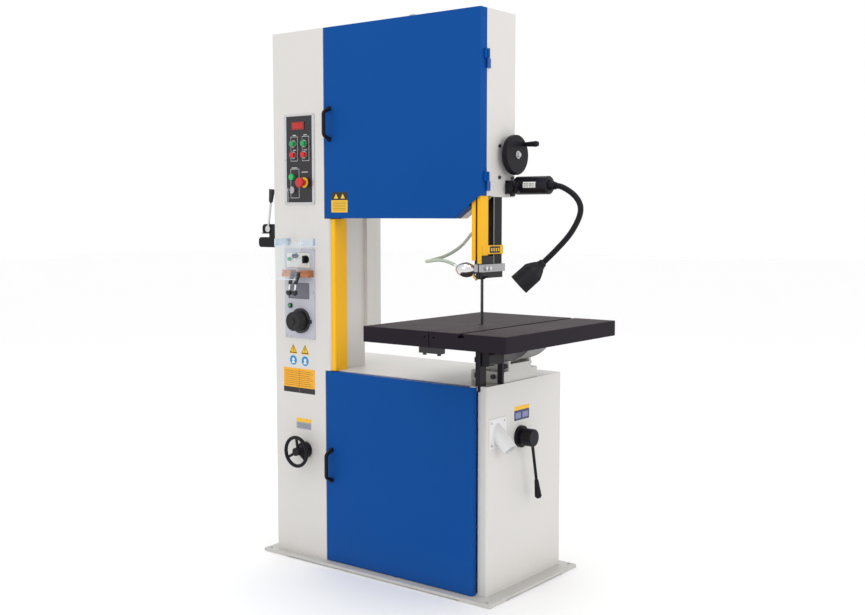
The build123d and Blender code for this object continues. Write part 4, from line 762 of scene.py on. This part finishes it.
# ---- the saw's sub-assemblies, sizes in millimetres ---------------------------------
@dataclass
class Housing:
    """Base, column, cabinets, head and doors, with the labels on them."""

    painted: tuple[str, ...] = ("column", "lower_cabinet", "head_housing", "electrical_cabinet",
                                "electrical_door")
    doors: tuple[str, ...] = ("upper_door", "lower_door")
    door_label_size: Span = (82.0, 76.0)
    sign_gap: float = 64.0
    triangle_z: float = 833.0
    triangle_half: float = 23.0
    disc_z: float = 788.0
    disc_radius: float = 19.0
    orange_z: Span = (660.0, 757.0)
    orange_band_top: float = 681.0
    speed_z: Span = (518.0, 560.0)
    speed_band: Span = (545.0, 570.0)
    gear_y: Span = (-64.0, 34.0)
    gear_z: Span = (618.0, 670.0)

    def build(self) -> None:
        """Dress the sheet metal and add the labels."""
        for node in self.painted:
            dress(node, BODY)
        dress("base_plate", Paint("base_paint", (0.60, 0.59, 0.57), 0.45, mottle=0.05, dust=0.5))
        for node in self.doors:
            dress(node, DOOR)
            dress(f"{node}_handle", BLACK_PLASTIC)
        dress("left_blade_guard", GUARD)
        self._door_label()
        low, _ = box_mm("column")
        column = Board(Side.FRONT, low[1] * MM)
        middle = low[0] + 130.0
        for index, x in enumerate((middle - self.sign_gap / 2, middle + self.sign_gap / 2)):
            self._triangle(column, index, x)
            self._disc(column, index, x)
        self._orange_label(column, low[0] + 44, low[0] + 214)
        self._speed_plate(column, low[0] + 112, low[0] + 192)
        self._gear_plate()
        self._fasteners()

    def _door_label(self) -> None:
        """Black and yellow plate with two plain triangles in the upper door's lower left corner."""
        low, _ = box_mm("upper_door")
        door = Board(Side.FRONT, low[1] * MM, "upper_door")
        x0, z0 = low[0] + 36, low[2] + 22
        x1, z1 = x0 + self.door_label_size[0], z0 + self.door_label_size[1]
        lines = tuple(Region.front((x0 + 8, x1 - 8), (z0 + z, z0 + z + 1.6), (0.12, 0.09, 0.02), 0.5)
                      for z in range(8, 44, 6))
        band = Region.front((-1000, 1000), (z1 - 30, 1900), Shade.INK)
        door.label("door_label", (x0, x1), (z0, z1), Shade.AMBER, "guard_paint", lines + (band,))
        for index, x in enumerate((x0 + 24, x0 + 58)):
            outline = rounded([(x - 11, z1 - 24), (x + 11, z1 - 24), (x, z1 - 6)], 2.0)
            door.stick(f"door_label_sign_{index}", outline, LABEL_HEIGHT, LABEL_HEIGHT + 0.1, MARK_YELLOW,
                       "guard_paint")

    def _triangle(self, column: Board, index: int, x: float) -> None:
        """Warning triangle with a plain upright mark: three sheets, each smaller than the one under it."""
        z, half = self.triangle_z, self.triangle_half
        sheets = (("edge", 1.0, 0.0, 0.3, MARK_YELLOW), ("rim", 0.86, 0.3, 0.4, MARK_BLACK),
                  ("field", 0.66, 0.4, 0.5, MARK_YELLOW))
        for name, scale, bottom, top, finish in sheets:
            foot = z - 19 * scale
            corners = [(x - half * scale, foot), (x + half * scale, foot), (x, z + 21 * scale)]
            outline = rounded(corners, 3 * scale)
            column.stick(f"triangle_{index}_{name}", outline, bottom, top, finish, "guard_paint")
        bar = plate((x - 1.6, x + 1.6), (z - 5, z + 8), 1.0)
        for name, outline in (("bar", bar), ("dot", circle(x, z - 8.5, 1.8, 16))):
            column.stick(f"triangle_{index}_{name}", outline, 0.5, 0.6, MARK_BLACK, "panel_black")

    def _disc(self, column: Board, index: int, x: float) -> None:
        """Blue instruction disc with a plain white head-and-shoulders shape."""
        z = self.disc_z
        blue = Paint("label_blue", Shade.SKY, 0.42, coat=0.1)
        column.stick(f"disc_{index}", circle(x, z, self.disc_radius), 0.0, 0.3, blue, "door_paint")
        shoulders = rounded([(x - 10, z - 12), (x + 10, z - 12), (x + 6, z - 4), (x - 6, z - 4)], 2.5)
        for name, outline in (("head", circle(x, z + 3.0, 6.5, 24)), ("shoulders", shoulders)):
            column.stick(f"disc_{index}_{name}", outline, 0.3, 0.4, MARK_WHITE, "body_paint")

    def _orange_label(self, column: Board, x0: float, x1: float) -> None:
        """Orange plate in two halves, with ragged lines over a black foot."""
        middle = (x0 + x1) / 2
        lines = tuple(Region.front((x0 + 8, x1 - 10 - 9 * (k % 3)), (z, z + 1.8), (0.20, 0.10, 0.01), 0.5)
                      for k, z in enumerate(range(688, 748, 8)))
        foot = Region.front((-1000, 0), (500, self.orange_band_top), Shade.INK, 0.45)
        split = Region.front((middle - 1, middle + 1), self.orange_z, (0.25, 0.13, 0.01), 0.5)
        column.label("orange_label", (x0, x1), self.orange_z, Shade.ORANGE, "guard_paint",
                     lines + (foot, split), 0.42)

    def _speed_plate(self, column: Board, x0: float, x1: float) -> None:
        """Small grey plate with a yellow strip, above the speed handwheel."""
        rows = tuple(Region.front((x0 + 6, x1 - 6), (z, z + 1.5), (0.10, 0.10, 0.12), 0.5)
                     for z in (524, 530, 536))
        band = Region.front((-1000, 0), self.speed_band, Shade.AMBER, 0.45)
        column.label("speed_label", (x0, x1), self.speed_z, (0.35, 0.36, 0.42), "panel_black", rows + (band,),
                     corner=2.0)

    def _gear_plate(self) -> None:
        """Plate above the gear lever: yellow strip over two violet squares."""
        _, high = box_mm("lower_cabinet")
        y0, z0 = self.gear_y[0], self.gear_z[0]
        strip = Region((0.0, -1.0, (self.gear_z[1] - 15) * MM), (1.0, 1.0, 1.0), Shade.AMBER, 0.45)
        squares = tuple(Region((0.0, (y0 + a) * MM, (z0 + 7) * MM), (1.0, (y0 + b) * MM, (z0 + 28) * MM),
                               (0.22, 0.23, 0.42), 0.5) for a, b in ((8, 44), (54, 90)))
        Board(Side.RIGHT, high[0] * MM).label("gear_label", self.gear_y, self.gear_z, (0.045, 0.050, 0.14),
                                              "panel_black", (strip,) + squares)

    @staticmethod
    def _fasteners() -> None:
        """Blue hinge leaves, black bolts on the head's side and saddle, cream pins, a grey lifting bow."""
        hinges = tuple(Region((0.484, -0.24, z), (0.50, -0.20, z + 0.07), Shade.BLUE, 0.35)
                       for z in (1.84, 1.42))
        others = (Region((0.484, -0.19, 1.45), (0.50, 0.0, 1.62), Shade.BLACK),
                  Region((0.37, -0.15, 0.765), (0.50, 0.07, 0.85), Shade.BLACK),
                  Region((0.40, -0.27, 0.01), (0.47, -0.22, 0.77), Shade.CREAM),
                  Region((-0.1, -0.16, 2.055), (0.2, -0.06, 2.2), (0.45, 0.45, 0.45), 0.4, 0.6))
        dress("fasteners", Metal("fastener_finish", (0.62, 0.62, 0.62), 0.34, stain=0.15,
                                 regions=hinges + others))


@dataclass
class ControlPanel:
    """Operator panel: frame, face, display, buttons, lamp, emergency stop and key."""

    line: float = 1.1
    sheet: Span = (-262.5, -261.2)
    collar: Span = (-265.2, -262.8)
    window: Span = (-265.5, -263.0)
    lamp: Span = (-280.0, -266.5)
    columns: Span = (54.0, 112.0)
    digits: int = 4

    def build(self) -> None:
        """Dress the panel's nodes and add the display's bars, the white marks and the screws."""
        low, high = box_mm("control_panel")
        x0, x1, z0, z1 = low[0], high[0], low[2], high[2]
        left, right = (x0 + offset for offset in self.columns)
        groups = (((left - 20, left + 17), (168, 262)), ((right - 17, right + 20), (168, 262)),
                  ((left - 22, left + 24), (26, 138)))
        face = Region.front((x0 + 11, x1 - 11), (z0 + 8, z1 - 5), Shade.BLACK, 0.35, self.sheet)
        outlines = tuple(Region.front(x, (z0 + bottom, z0 + top), Shade.WHITE, 0.5, self.sheet, self.line)
                         for x, (bottom, top) in groups)
        ring = Region.front((right - 30, right + 20), (z0 + 62, z0 + 108), (0.86, 0.52, 0.02), 0.4,
                            self.collar)
        display = Region.front((x0 + 40, x1 - 50), (z1 - 60, z1 - 26), (0.30, 0.008, 0.008), 0.15,
                               self.window)
        pilot = Region.front((left - 22, left + 10), (z0 + 93, z0 + 122), (0.02, 0.42, 0.10), 0.2, self.lamp)
        dress("control_panel", Metal("panel_finish", (0.62, 0.62, 0.63), 0.32, stain=0.05,
                                     regions=(face,) + outlines + (ring, display, pilot)))
        for side in ("left", "right"):
            dress(f"start_button_{side}", GREEN_PLASTIC)
            dress(f"stop_button_{side}", RED_PLASTIC)
        dress("emergency_stop", RED_PLASTIC)
        dress("key_switch", CHROME)
        self._display(x0 + 51, z1 - 52)
        self._dashes(left, right, z0)
        self._screws((x0 + 5.5, x1 - 5.5), (z0 + 5.0, (z0 + z1) / 2, z1 - 5.0))

    def _display(self, start: float, z: float) -> None:
        """Seven-bar zeros without the middle bar: foot, head, left and right bar of each digit."""
        glow = Paint("display_bars", (0.95, 0.05, 0.03), 0.3, coat=0.2)
        window = Board(Side.FRONT, -0.2648)
        bars = []
        for x in (start + 13 * digit for digit in range(self.digits)):
            bars += [((x, x + 6), (z, z + 1.4)), ((x, x + 6), (z + 16.6, z + 18)),
                     ((x, x + 1.4), (z + 1, z + 17)), ((x + 5.6, x + 7), (z + 1, z + 17))]
        for index, (across, up) in enumerate(bars):
            window.stick(f"display_bar_{index}", plate(across, up, 0.5), 0.0, 0.2, glow, "button_red")

    @staticmethod
    def _dashes(left: float, right: float, z0: float) -> None:
        """Plain white dashes above the controls."""
        sheet = Board(Side.FRONT, -0.2618)
        rows = ((left - 9, left + 9, 266), (right - 9, right + 9, 266), (left - 9, left + 9, 209),
                (right - 9, right + 9, 209), (left - 16, left + 14, 141), (right - 20, right + 12, 124))
        for index, (x0, x1, height) in enumerate(rows):
            outline = plate((x0, x1), (z0 + height, z0 + height + 2.4), 0.8)
            sheet.stick(f"panel_dash_{index}", outline, 0.0, 0.15, MARK_WHITE, "body_paint")

    @staticmethod
    def _screws(across: tuple[float, ...], up: tuple[float, ...]) -> None:
        """Socket screws in the panel's rim."""
        head = [(0, -0.4), (4.2, -0.4), (4.2, 0.6), (3.0, 1.8), (1.6, 2.1), (1.4, 1.3), (0, 1.3)]
        for index, (x, z) in enumerate((x * MM, z * MM) for x in across for z in up):
            lathe(f"panel_screw_{index}", head, (x, -0.263, z), (x, -0.273, z),
                  Stock(ZINC, "bright_steel"), 24)


@dataclass
class Welder:
    """Blade welder, its levers, grinder and shield, with the shear."""

    plate_face: float = -264.4
    guard_front: float = -300.0
    lens: tuple[tuple[float, float], ...] = ((0, 0), (7.0, 0), (7.0, 1.0), (5.5, 3.0), (0, 4.2))
    lens_place: Span = (32.0, 127.0)
    shield: tuple[tuple[str, float], ...] = (("shield_arms", 0.45), ("shield_flap", 0.1))

    def build(self) -> None:
        """Dress the welder's nodes and add its pilot lamp's lens."""
        low, high = box_mm("weld_plate")
        x0, x1, z0 = low[0], high[0], low[2]
        dress("weld_plate", Paint("welder_paint", Shade.LAVENDER, 0.34, mottle=0.04, coat=0.3,
                                  regions=self._plate_regions(x0, x1, z0)))
        dress("weld_jaws", Metal("copper", (0.62, 0.26, 0.13), 0.36, (0.2, 1.0, 1.0), 0.00004, 0.35))
        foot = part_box("weld_lever_left")[0][2]
        ball = Region((-1.0, -0.5, foot - 0.01), (0.0, 0.0, foot + 0.021), Shade.BLACK, 0.3)
        sleeve = Region((-1.0, -0.5, foot + 0.044), (0.0, 0.0, foot + 0.1), Shade.BLACK)
        for side in ("left", "right"):
            dress(f"weld_lever_{side}", Metal("clamp_lever", (0.72, 0.72, 0.73), 0.15, stain=0.04,
                                              regions=(ball, sleeve)))
        dress("weld_knob", BLACK_PLASTIC)
        dress("weld_selector", BLACK_PLASTIC)
        dress("weld_button", GREEN_PLASTIC)
        dress("grinder_wheel", Paint("grindstone", (0.030, 0.029, 0.030), 0.75, peel=0.0004,
                                     peel_scale=1400.0, mottle=0.2, coat=0.0))
        self._shield()
        x, z = (x0 + self.lens_place[0]) * MM, (z0 + self.lens_place[1]) * MM
        lathe("welder_lamp", list(self.lens), (x, -0.271, z), (x, -0.30, z),
              Stock(GREEN_PLASTIC, "button_green"), 32)
        dress("shear_body", BLACK_STEEL)
        grip = Region((-1.0, -0.4, 1.405), (0.0, 0.0, 1.6), Shade.BLACK)
        dress("shear_lever", Metal("shear_lever_finish", (0.66, 0.66, 0.67), 0.2, stain=0.05,
                                   regions=(grip,)))

    def _plate_regions(self, x0: float, x1: float, z0: float) -> tuple[Region, ...]:
        """Window, raised white plate with its black line, grinder's guard and lamp's ring."""
        raised, before_plate = (-266.0, self.plate_face), (self.guard_front, self.plate_face + 0.1)
        return (
            Region.front((x0 + 19, x1 - 27), (z0 + 155, z0 + 218), (0.16, 0.16, 0.20), 0.5, (-264.5, -258.5)),
            Region.front((x0 + 8, x1 - 17), (z0 + 273, z0 + 339), (0.70, 0.70, 0.68), 0.4, raised),
            Region.front((x0 + 10.5, x1 - 19.5), (z0 + 275.5, z0 + 336.5), Shade.INK, 0.4,
                         (-266.0, -264.9), 1.6),
            Region.front((x0 + 18, x0 + 46), (z0 + 115, z0 + 139), Shade.BLACK, 0.35, before_plate),
            Region.front((x0 + 38, x1 - 0.1), (z0 + 20, z0 + 121), Shade.BLACK, 0.38, before_plate),
        )

    def _shield(self) -> None:
        """Clear arms and flap with pale cut edges."""
        for node, alpha in self.shield:
            low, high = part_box(node)
            outline = Region((low[0] - MM, low[1] - MM, low[2] - MM), (high[0] + MM, high[1] + MM, high[2] + 0.02),
                             (0.9, 0.95, 1.0), line=0.0035)
            dress(node, Clear(f"{node}_sheet", (0.62, 0.80, 0.95), outline, alpha))


@dataclass
class GuideHead:
    """Guide post, upper guard, guide, nozzle, hose and height handwheel; the hose in metres."""

    hose_width: float = 0.012
    hose_length: float = 0.4989
    hose_route: tuple[Point, ...] = (
        (0.4300, -0.1970, 1.3080), (0.4025, -0.1900, 1.2955), (0.3660, -0.1630, 1.2760),
        (0.3270, -0.1330, 1.2575), (0.2840, -0.1080, 1.2370), (0.2345, -0.1185, 1.2080),
        (0.2045, -0.1595, 1.1950), (0.2100, -0.2100, 1.1910), (0.2475, -0.2435, 1.1935),
        (0.2900, -0.2420, 1.2000), (0.3260, -0.2350, 1.1965), (0.3540, -0.2300, 1.1840))
    strap_y: Span = (-196.0, -134.0)
    strap_z: Span = (1226.5, 1249.5)
    handwheel_face: Point = (0.5270, -0.0895, 1.568)

    def build(self) -> None:
        """Dress the guide's nodes, with a painted highlight on the post's front right edge, lay the hose and add
        the strap's label and the handwheel's bolt.
        """
        low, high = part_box("guide_post")
        # Painted highlight: a pale, glossy strip down the post's front right edge stands in for light caught by
        # that edge.
        corner = Region((high[0] - 0.0014, low[1] - 0.001, 0.0), (high[0] + 0.001, low[1] + 0.0014, 3.0),
                        (0.42, 0.41, 0.40), 0.3, 0.6)
        dress("guide_post", Metal("post_steel_with_painted_highlight", BLACK_STEEL.colour, 0.34, BLACK_STEEL.lay, stain=0.3,
                                  metallic=0.4, specular=0.22, regions=(corner,)))
        dress("upper_blade_guard", GUARD)
        arm = Region((0.446, -0.26, 1.1612), (0.486, -0.09, 1.1878), (0.42, 0.42, 0.43), 0.35, 0.8)
        bolt = Region((0.4842, -0.26, 1.16), (0.50, -0.15, 1.19), (0.75, 0.75, 0.75), 0.15, 1.0)
        dress("upper_guide", Metal("guide_finish", (0.03, 0.03, 0.032), 0.36, stain=0.2, metallic=0.7,
                                   regions=(arm, bolt)))
        jet = Region((0.425, -0.26, 1.11), (0.46, -0.2, 1.152), (0.62, 0.40, 0.12), 0.25, 1.0)
        dress("air_nozzle", Metal("nozzle_finish", (0.74, 0.74, 0.75), 0.14, stain=0.05, regions=(jet,)))
        dress("height_handwheel", BLACK_PLASTIC)
        dress("crank_grip", BLACK_PLASTIC)
        self._hose()
        self._strap_label()
        profile = [(0, 0), (14, 0), (14, 2), (13, 3), (8.5, 3.2), (8.5, 8), (7.5, 9.2), (0, 9.6)]
        x, y, z = self.handwheel_face
        lathe("handwheel_bolt", profile, self.handwheel_face, (x + 0.01, y, z),
              Stock(ZINC, "bright_steel", "height_handwheel"), 36)

    def _hose(self) -> None:
        """Soft air hose from the guard's fitting to the nozzle."""
        curve = bpy.data.curves.new("air_hose_line", "CURVE")
        curve.dimensions = "3D"
        curve.bevel_depth = self.hose_width / 2
        curve.bevel_resolution = 6
        curve.resolution_u = 14
        curve.use_fill_caps = True
        finish = Paint("hose_plastic", (0.52, 0.60, 0.49), 0.28, peel=0.00002, mottle=0.08, coat=0.5)
        curve.materials.append(finish.material())
        line = curve.splines.new("NURBS")
        line.points.add(len(self.hose_route) - 1)
        weights = np.ones((len(self.hose_route), 1))
        line.points.foreach_set("co", np.hstack([np.array(self.hose_route), weights]).ravel())
        line.order_u = 3
        line.use_endpoint_u = True
        hose = bpy.data.objects.new("air_hose_curve", curve)
        bpy.context.scene.collection.objects.link(hose)
        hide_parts("air_hose")
        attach(hose, "guide_post")
        LOG.info("air hose: %d route points", len(self.hose_route))

    def _strap_label(self) -> None:
        """Small black plate with yellow bars on the guard's strap."""
        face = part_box("upper_blade_guard")[1][0]
        start, bottom, top = self.strap_y[0], self.strap_z[0] + 6, self.strap_z[1] - 6
        bars = tuple(Region((0.0, (start + y) * MM, bottom * MM), (1.0, (start + y + 7) * MM, top * MM),
                            Shade.AMBER) for y in (8, 22, 36, 50))
        Board(Side.RIGHT, face, "guide_post").label("strap_label", self.strap_y, self.strap_z, Shade.BLACK,
                                                    "panel_black", bars, corner=2.0, height=0.3)


@dataclass
class WorkTable:
    """Slotted table, insert, trunnion, saddle and lower guard."""

    blackened_below: float = 1.2
    margin: float = 10.0

    def build(self) -> None:
        """Dress the table's nodes, the chute and the controls beside it."""
        low, high = (corner * MM for corner in box_mm("table"))
        margin, skin = self.margin * MM, self.blackened_below * MM
        sides = Region(tuple(low - margin), (high[0] + margin, high[1] + margin, high[2] - skin),
                       (0.016, 0.012, 0.018), 0.55)
        dress("table", Metal("table_finish", (0.054, 0.040, 0.044), 0.60, (1.0, 0.04, 1.0), 0.00004, 0.3,
                             metallic=0.0, specular=0.08, regions=(sides,)))
        dress("table_insert", Metal("insert_finish", (0.044, 0.034, 0.038), 0.56, stain=0.2, metallic=0.0,
                                    specular=0.08))
        slit_plate = Region((0.40, -0.55, 0.88), (0.52, -0.48, 0.926), Shade.BLACK)
        dress("table_trunnion", Metal("trunnion_finish", (0.24, 0.235, 0.235), 0.45, depth=0.0002, stain=0.25,
                                      metallic=0.6, regions=(slit_plate,)))
        dress("table_saddle", CASTING)
        dress("lower_blade_guard", BLACK_STEEL)
        dress("chip_chute", Paint("chute_paint", (0.76, 0.755, 0.76), 0.4, mottle=0.02, coat=0.08))
        dress("gear_lever", BLACK_PLASTIC)
        dress("speed_handwheel", BLACK_PLASTIC)


@dataclass
class WorkLamp:
    """Transformer housing, gooseneck and fluted shade of the work lamp; the neck in metres."""

    neck: tuple[Point, ...] = (
        (0.6450, -0.0640, 1.4615), (0.6900, -0.0655, 1.4550), (0.7380, -0.0720, 1.4310),
        (0.7690, -0.0805, 1.4020), (0.7800, -0.0890, 1.3710), (0.7720, -0.0980, 1.3340),
        (0.7480, -0.1080, 1.2900), (0.7080, -0.1200, 1.2430), (0.6620, -0.1310, 1.1970))
    mouth: Point = (0.596, -0.185, 1.120)
    neck_radius: float = 0.0098
    rib_pitch: float = 0.0052
    rib_depth: float = 0.0004
    rib_rings: int = 8
    shade_flutes: int = 63

    def build(self) -> None:
        """Dress the mount and make the gooseneck, collar, shade and lens."""
        sticker = Region((0.552, -0.099, 1.453), (0.603, -0.085, 1.473), (0.80, 0.80, 0.78))
        marks = tuple(Region((start * MM, -0.099, 1.457), ((start + 7) * MM, -0.085, 1.469), Shade.INK,
                             line=0.0018) for start in range(556, 600, 11))
        black = Paint("lamp_black", Shade.BLACK, 0.36, peel=0.00005, mottle=0.1, coat=0.05, specular=0.18,
                      regions=(sticker,) + marks)
        dress("lamp_mount", black)
        self._gooseneck()
        collar = [(0, -0.2), (18, -0.2), (18, 6), (15, 12), (12.5, 24), (0, 24)]
        lathe("neck_collar", collar, self.neck[0], self.neck[1],
              Stock(BLACK_PLASTIC, "black_plastic", "work_lamp"), 40)
        self._shade(black)

    def _gooseneck(self) -> None:
        """Ribbed tube: the radius is the neck's, plus the rib depth times cos(2 pi run / pitch)."""
        rough_line, rough_run = smooth_line(np.array(self.neck))
        count = int(rough_run[-1] / self.rib_pitch * self.rib_rings)
        run = np.linspace(0.0, rough_run[-1], count)
        line = np.stack([np.interp(run, rough_run, rough_line[:, axis]) for axis in range(3)], axis=1)
        radii = self.neck_radius + self.rib_depth * np.cos(2 * math.pi * run / self.rib_pitch)
        segments = 28
        neck = add_mesh("gooseneck", pipe_points(line, radii, segments), grid_faces(count, segments),
                        Stock(BLACK_PLASTIC, "black_plastic", "work_lamp"), 60.0)
        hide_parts("lamp_arm")

    def _shade(self, black: Paint) -> None:
        """Fluted shade: a stepped neck, a cone, a wide barrel, an inside in the same black and a frosted lens."""
        start, end, length = self.neck[-1], self.mouth, math.dist(self.neck[-1], self.mouth) / MM
        outside = [(0, 0), (12.5, 0), (14.5, 3), (14.5, 11), (17.0, 12), (17.0, 17), (20.5, 20), (30, 36),
                   (35, 46), (37, 52), (37.4, length - 6)]
        inside = [(37.8, length - 4), (37.8, length), (35.6, length), (34.0, 60), (24, 46), (0, 44)]
        shade = lathe("lamp_shade", outside + inside, start, end, Stock(black, "lamp_paint", "work_lamp"),
                      self.shade_flutes * 4, self.shade_flutes, 0.012)
        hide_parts("lamp_head")
        lens = [(0, length - 20), (34.0, length - 20), (34.4, length - 15), (20, length - 12),
                (0, length - 10.5)]
        frosted = Paint("lens_white", (0.78, 0.80, 0.80), 0.2, coat=0.6)
        lathe("lamp_lens", lens, start, end, Stock(frosted, "body_paint", "work_lamp"), 56)


@dataclass
class BladeDrive:
    """Blade, wheels, tyres, belt, pulleys, motor and gearbox."""

    pitch: float = 6.2
    depth: float = 2.2
    thickness: float = 0.9
    tooth_place: tuple[float, ...] = (0.0, 0.12, 0.55, 0.985)
    tooth_reach: tuple[float, ...] = (1.0, 0.0, 0.15, 0.97)

    def build(self) -> None:
        """Dress the running gear and cut the blade's teeth."""
        for node in ("upper_wheel", "lower_wheel", "tension_carriage", "motor_pulley", "gearbox_pulley"):
            dress(node, IRON)
        rubber = Paint("tyre_rubber", (0.022, 0.022, 0.023), 0.7, peel=0.0001, peel_scale=700.0, coat=0.0)
        for node in ("upper_tyre", "lower_tyre", "drive_belt"):
            dress(node, rubber)
        for node in ("motor", "gearbox"):
            dress(node, Paint("motor_paint", (0.09, 0.12, 0.15), 0.45, peel=0.0001, mottle=0.1))
        self._blade()

    def _blade(self) -> None:
        """Toothed band round both wheels.

        The line is two half circles joined by straight runs. At run s the front edge stands at the band's
        front plus the tooth depth times a saw wave of s over the pitch, slow on the back of each tooth and
        steep on its face.
        """
        low, high = box_mm("blade")
        radius = (high[0] - low[0]) / 2 - self.thickness / 2
        centre = (low[0] + high[0]) / 2
        straight = (high[2] - low[2]) - (high[0] - low[0])
        bottom = low[2] + radius + self.thickness / 2
        arc = math.pi * radius
        total = 2 * (arc + straight)
        teeth = round(total / self.pitch)
        phase, reach = np.tile(np.array(self.tooth_place), teeth), np.tile(np.array(self.tooth_reach), teeth)
        run = (np.repeat(np.arange(teeth), len(self.tooth_place)) + phase) * total / teeth
        stretches = [run < straight, run < straight + arc, run < 2 * straight + arc]
        angle = np.select(stretches, [0.0 * run, (run - straight) / radius, math.pi + 0.0 * run],
                          math.pi + (run - 2 * straight - arc) / radius)
        lift = np.select(stretches, [run, straight + 0.0 * run, 2 * straight + arc - run], 0.0)
        outward = np.stack([np.cos(angle), np.zeros_like(angle), np.sin(angle)], axis=1)
        middle = np.stack([np.full_like(run, centre), np.zeros_like(run), bottom + lift], axis=1)
        front = low[1] + self.depth * (1.0 - reach)
        back = np.full_like(front, high[1])
        corners = []
        for side, edge in ((0.5, back), (0.5, front), (-0.5, front), (-0.5, back)):
            place = middle + outward * (radius + side * self.thickness)
            place[:, 1] = edge
            corners.append(place)
        points = np.stack(corners, axis=1) * MM
        bright = Region((-1.0, (low[1] - 1.0) * MM, -1.0), (1.0, (low[1] + 4.0) * MM, 3.0),
                        (0.16, 0.16, 0.165), 0.3, 0.9)
        steel = Metal("blade_steel", (0.035, 0.035, 0.037), 0.38, (1.0, 3.0, 0.05), 0.00001, 0.35, 0.6,
                      regions=(bright,))
        blade = add_mesh("toothed_blade", points, grid_faces(len(run), len(corners), True),
                         Stock(steel, "blade_steel"), 30.0)
        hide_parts("blade")


def main() -> None:
    """Build every sub-assembly in order."""
    logging.basicConfig(level=logging.INFO, format="%(name)s: %(message)s")
    for part in (Stage(), Housing(), ControlPanel(), Welder(), GuideHead(), WorkTable(), WorkLamp(),
                 BladeDrive()):
        part.build()
        LOG.info("%s done", type(part).__name__)


if __name__ == "__main__":
    main()
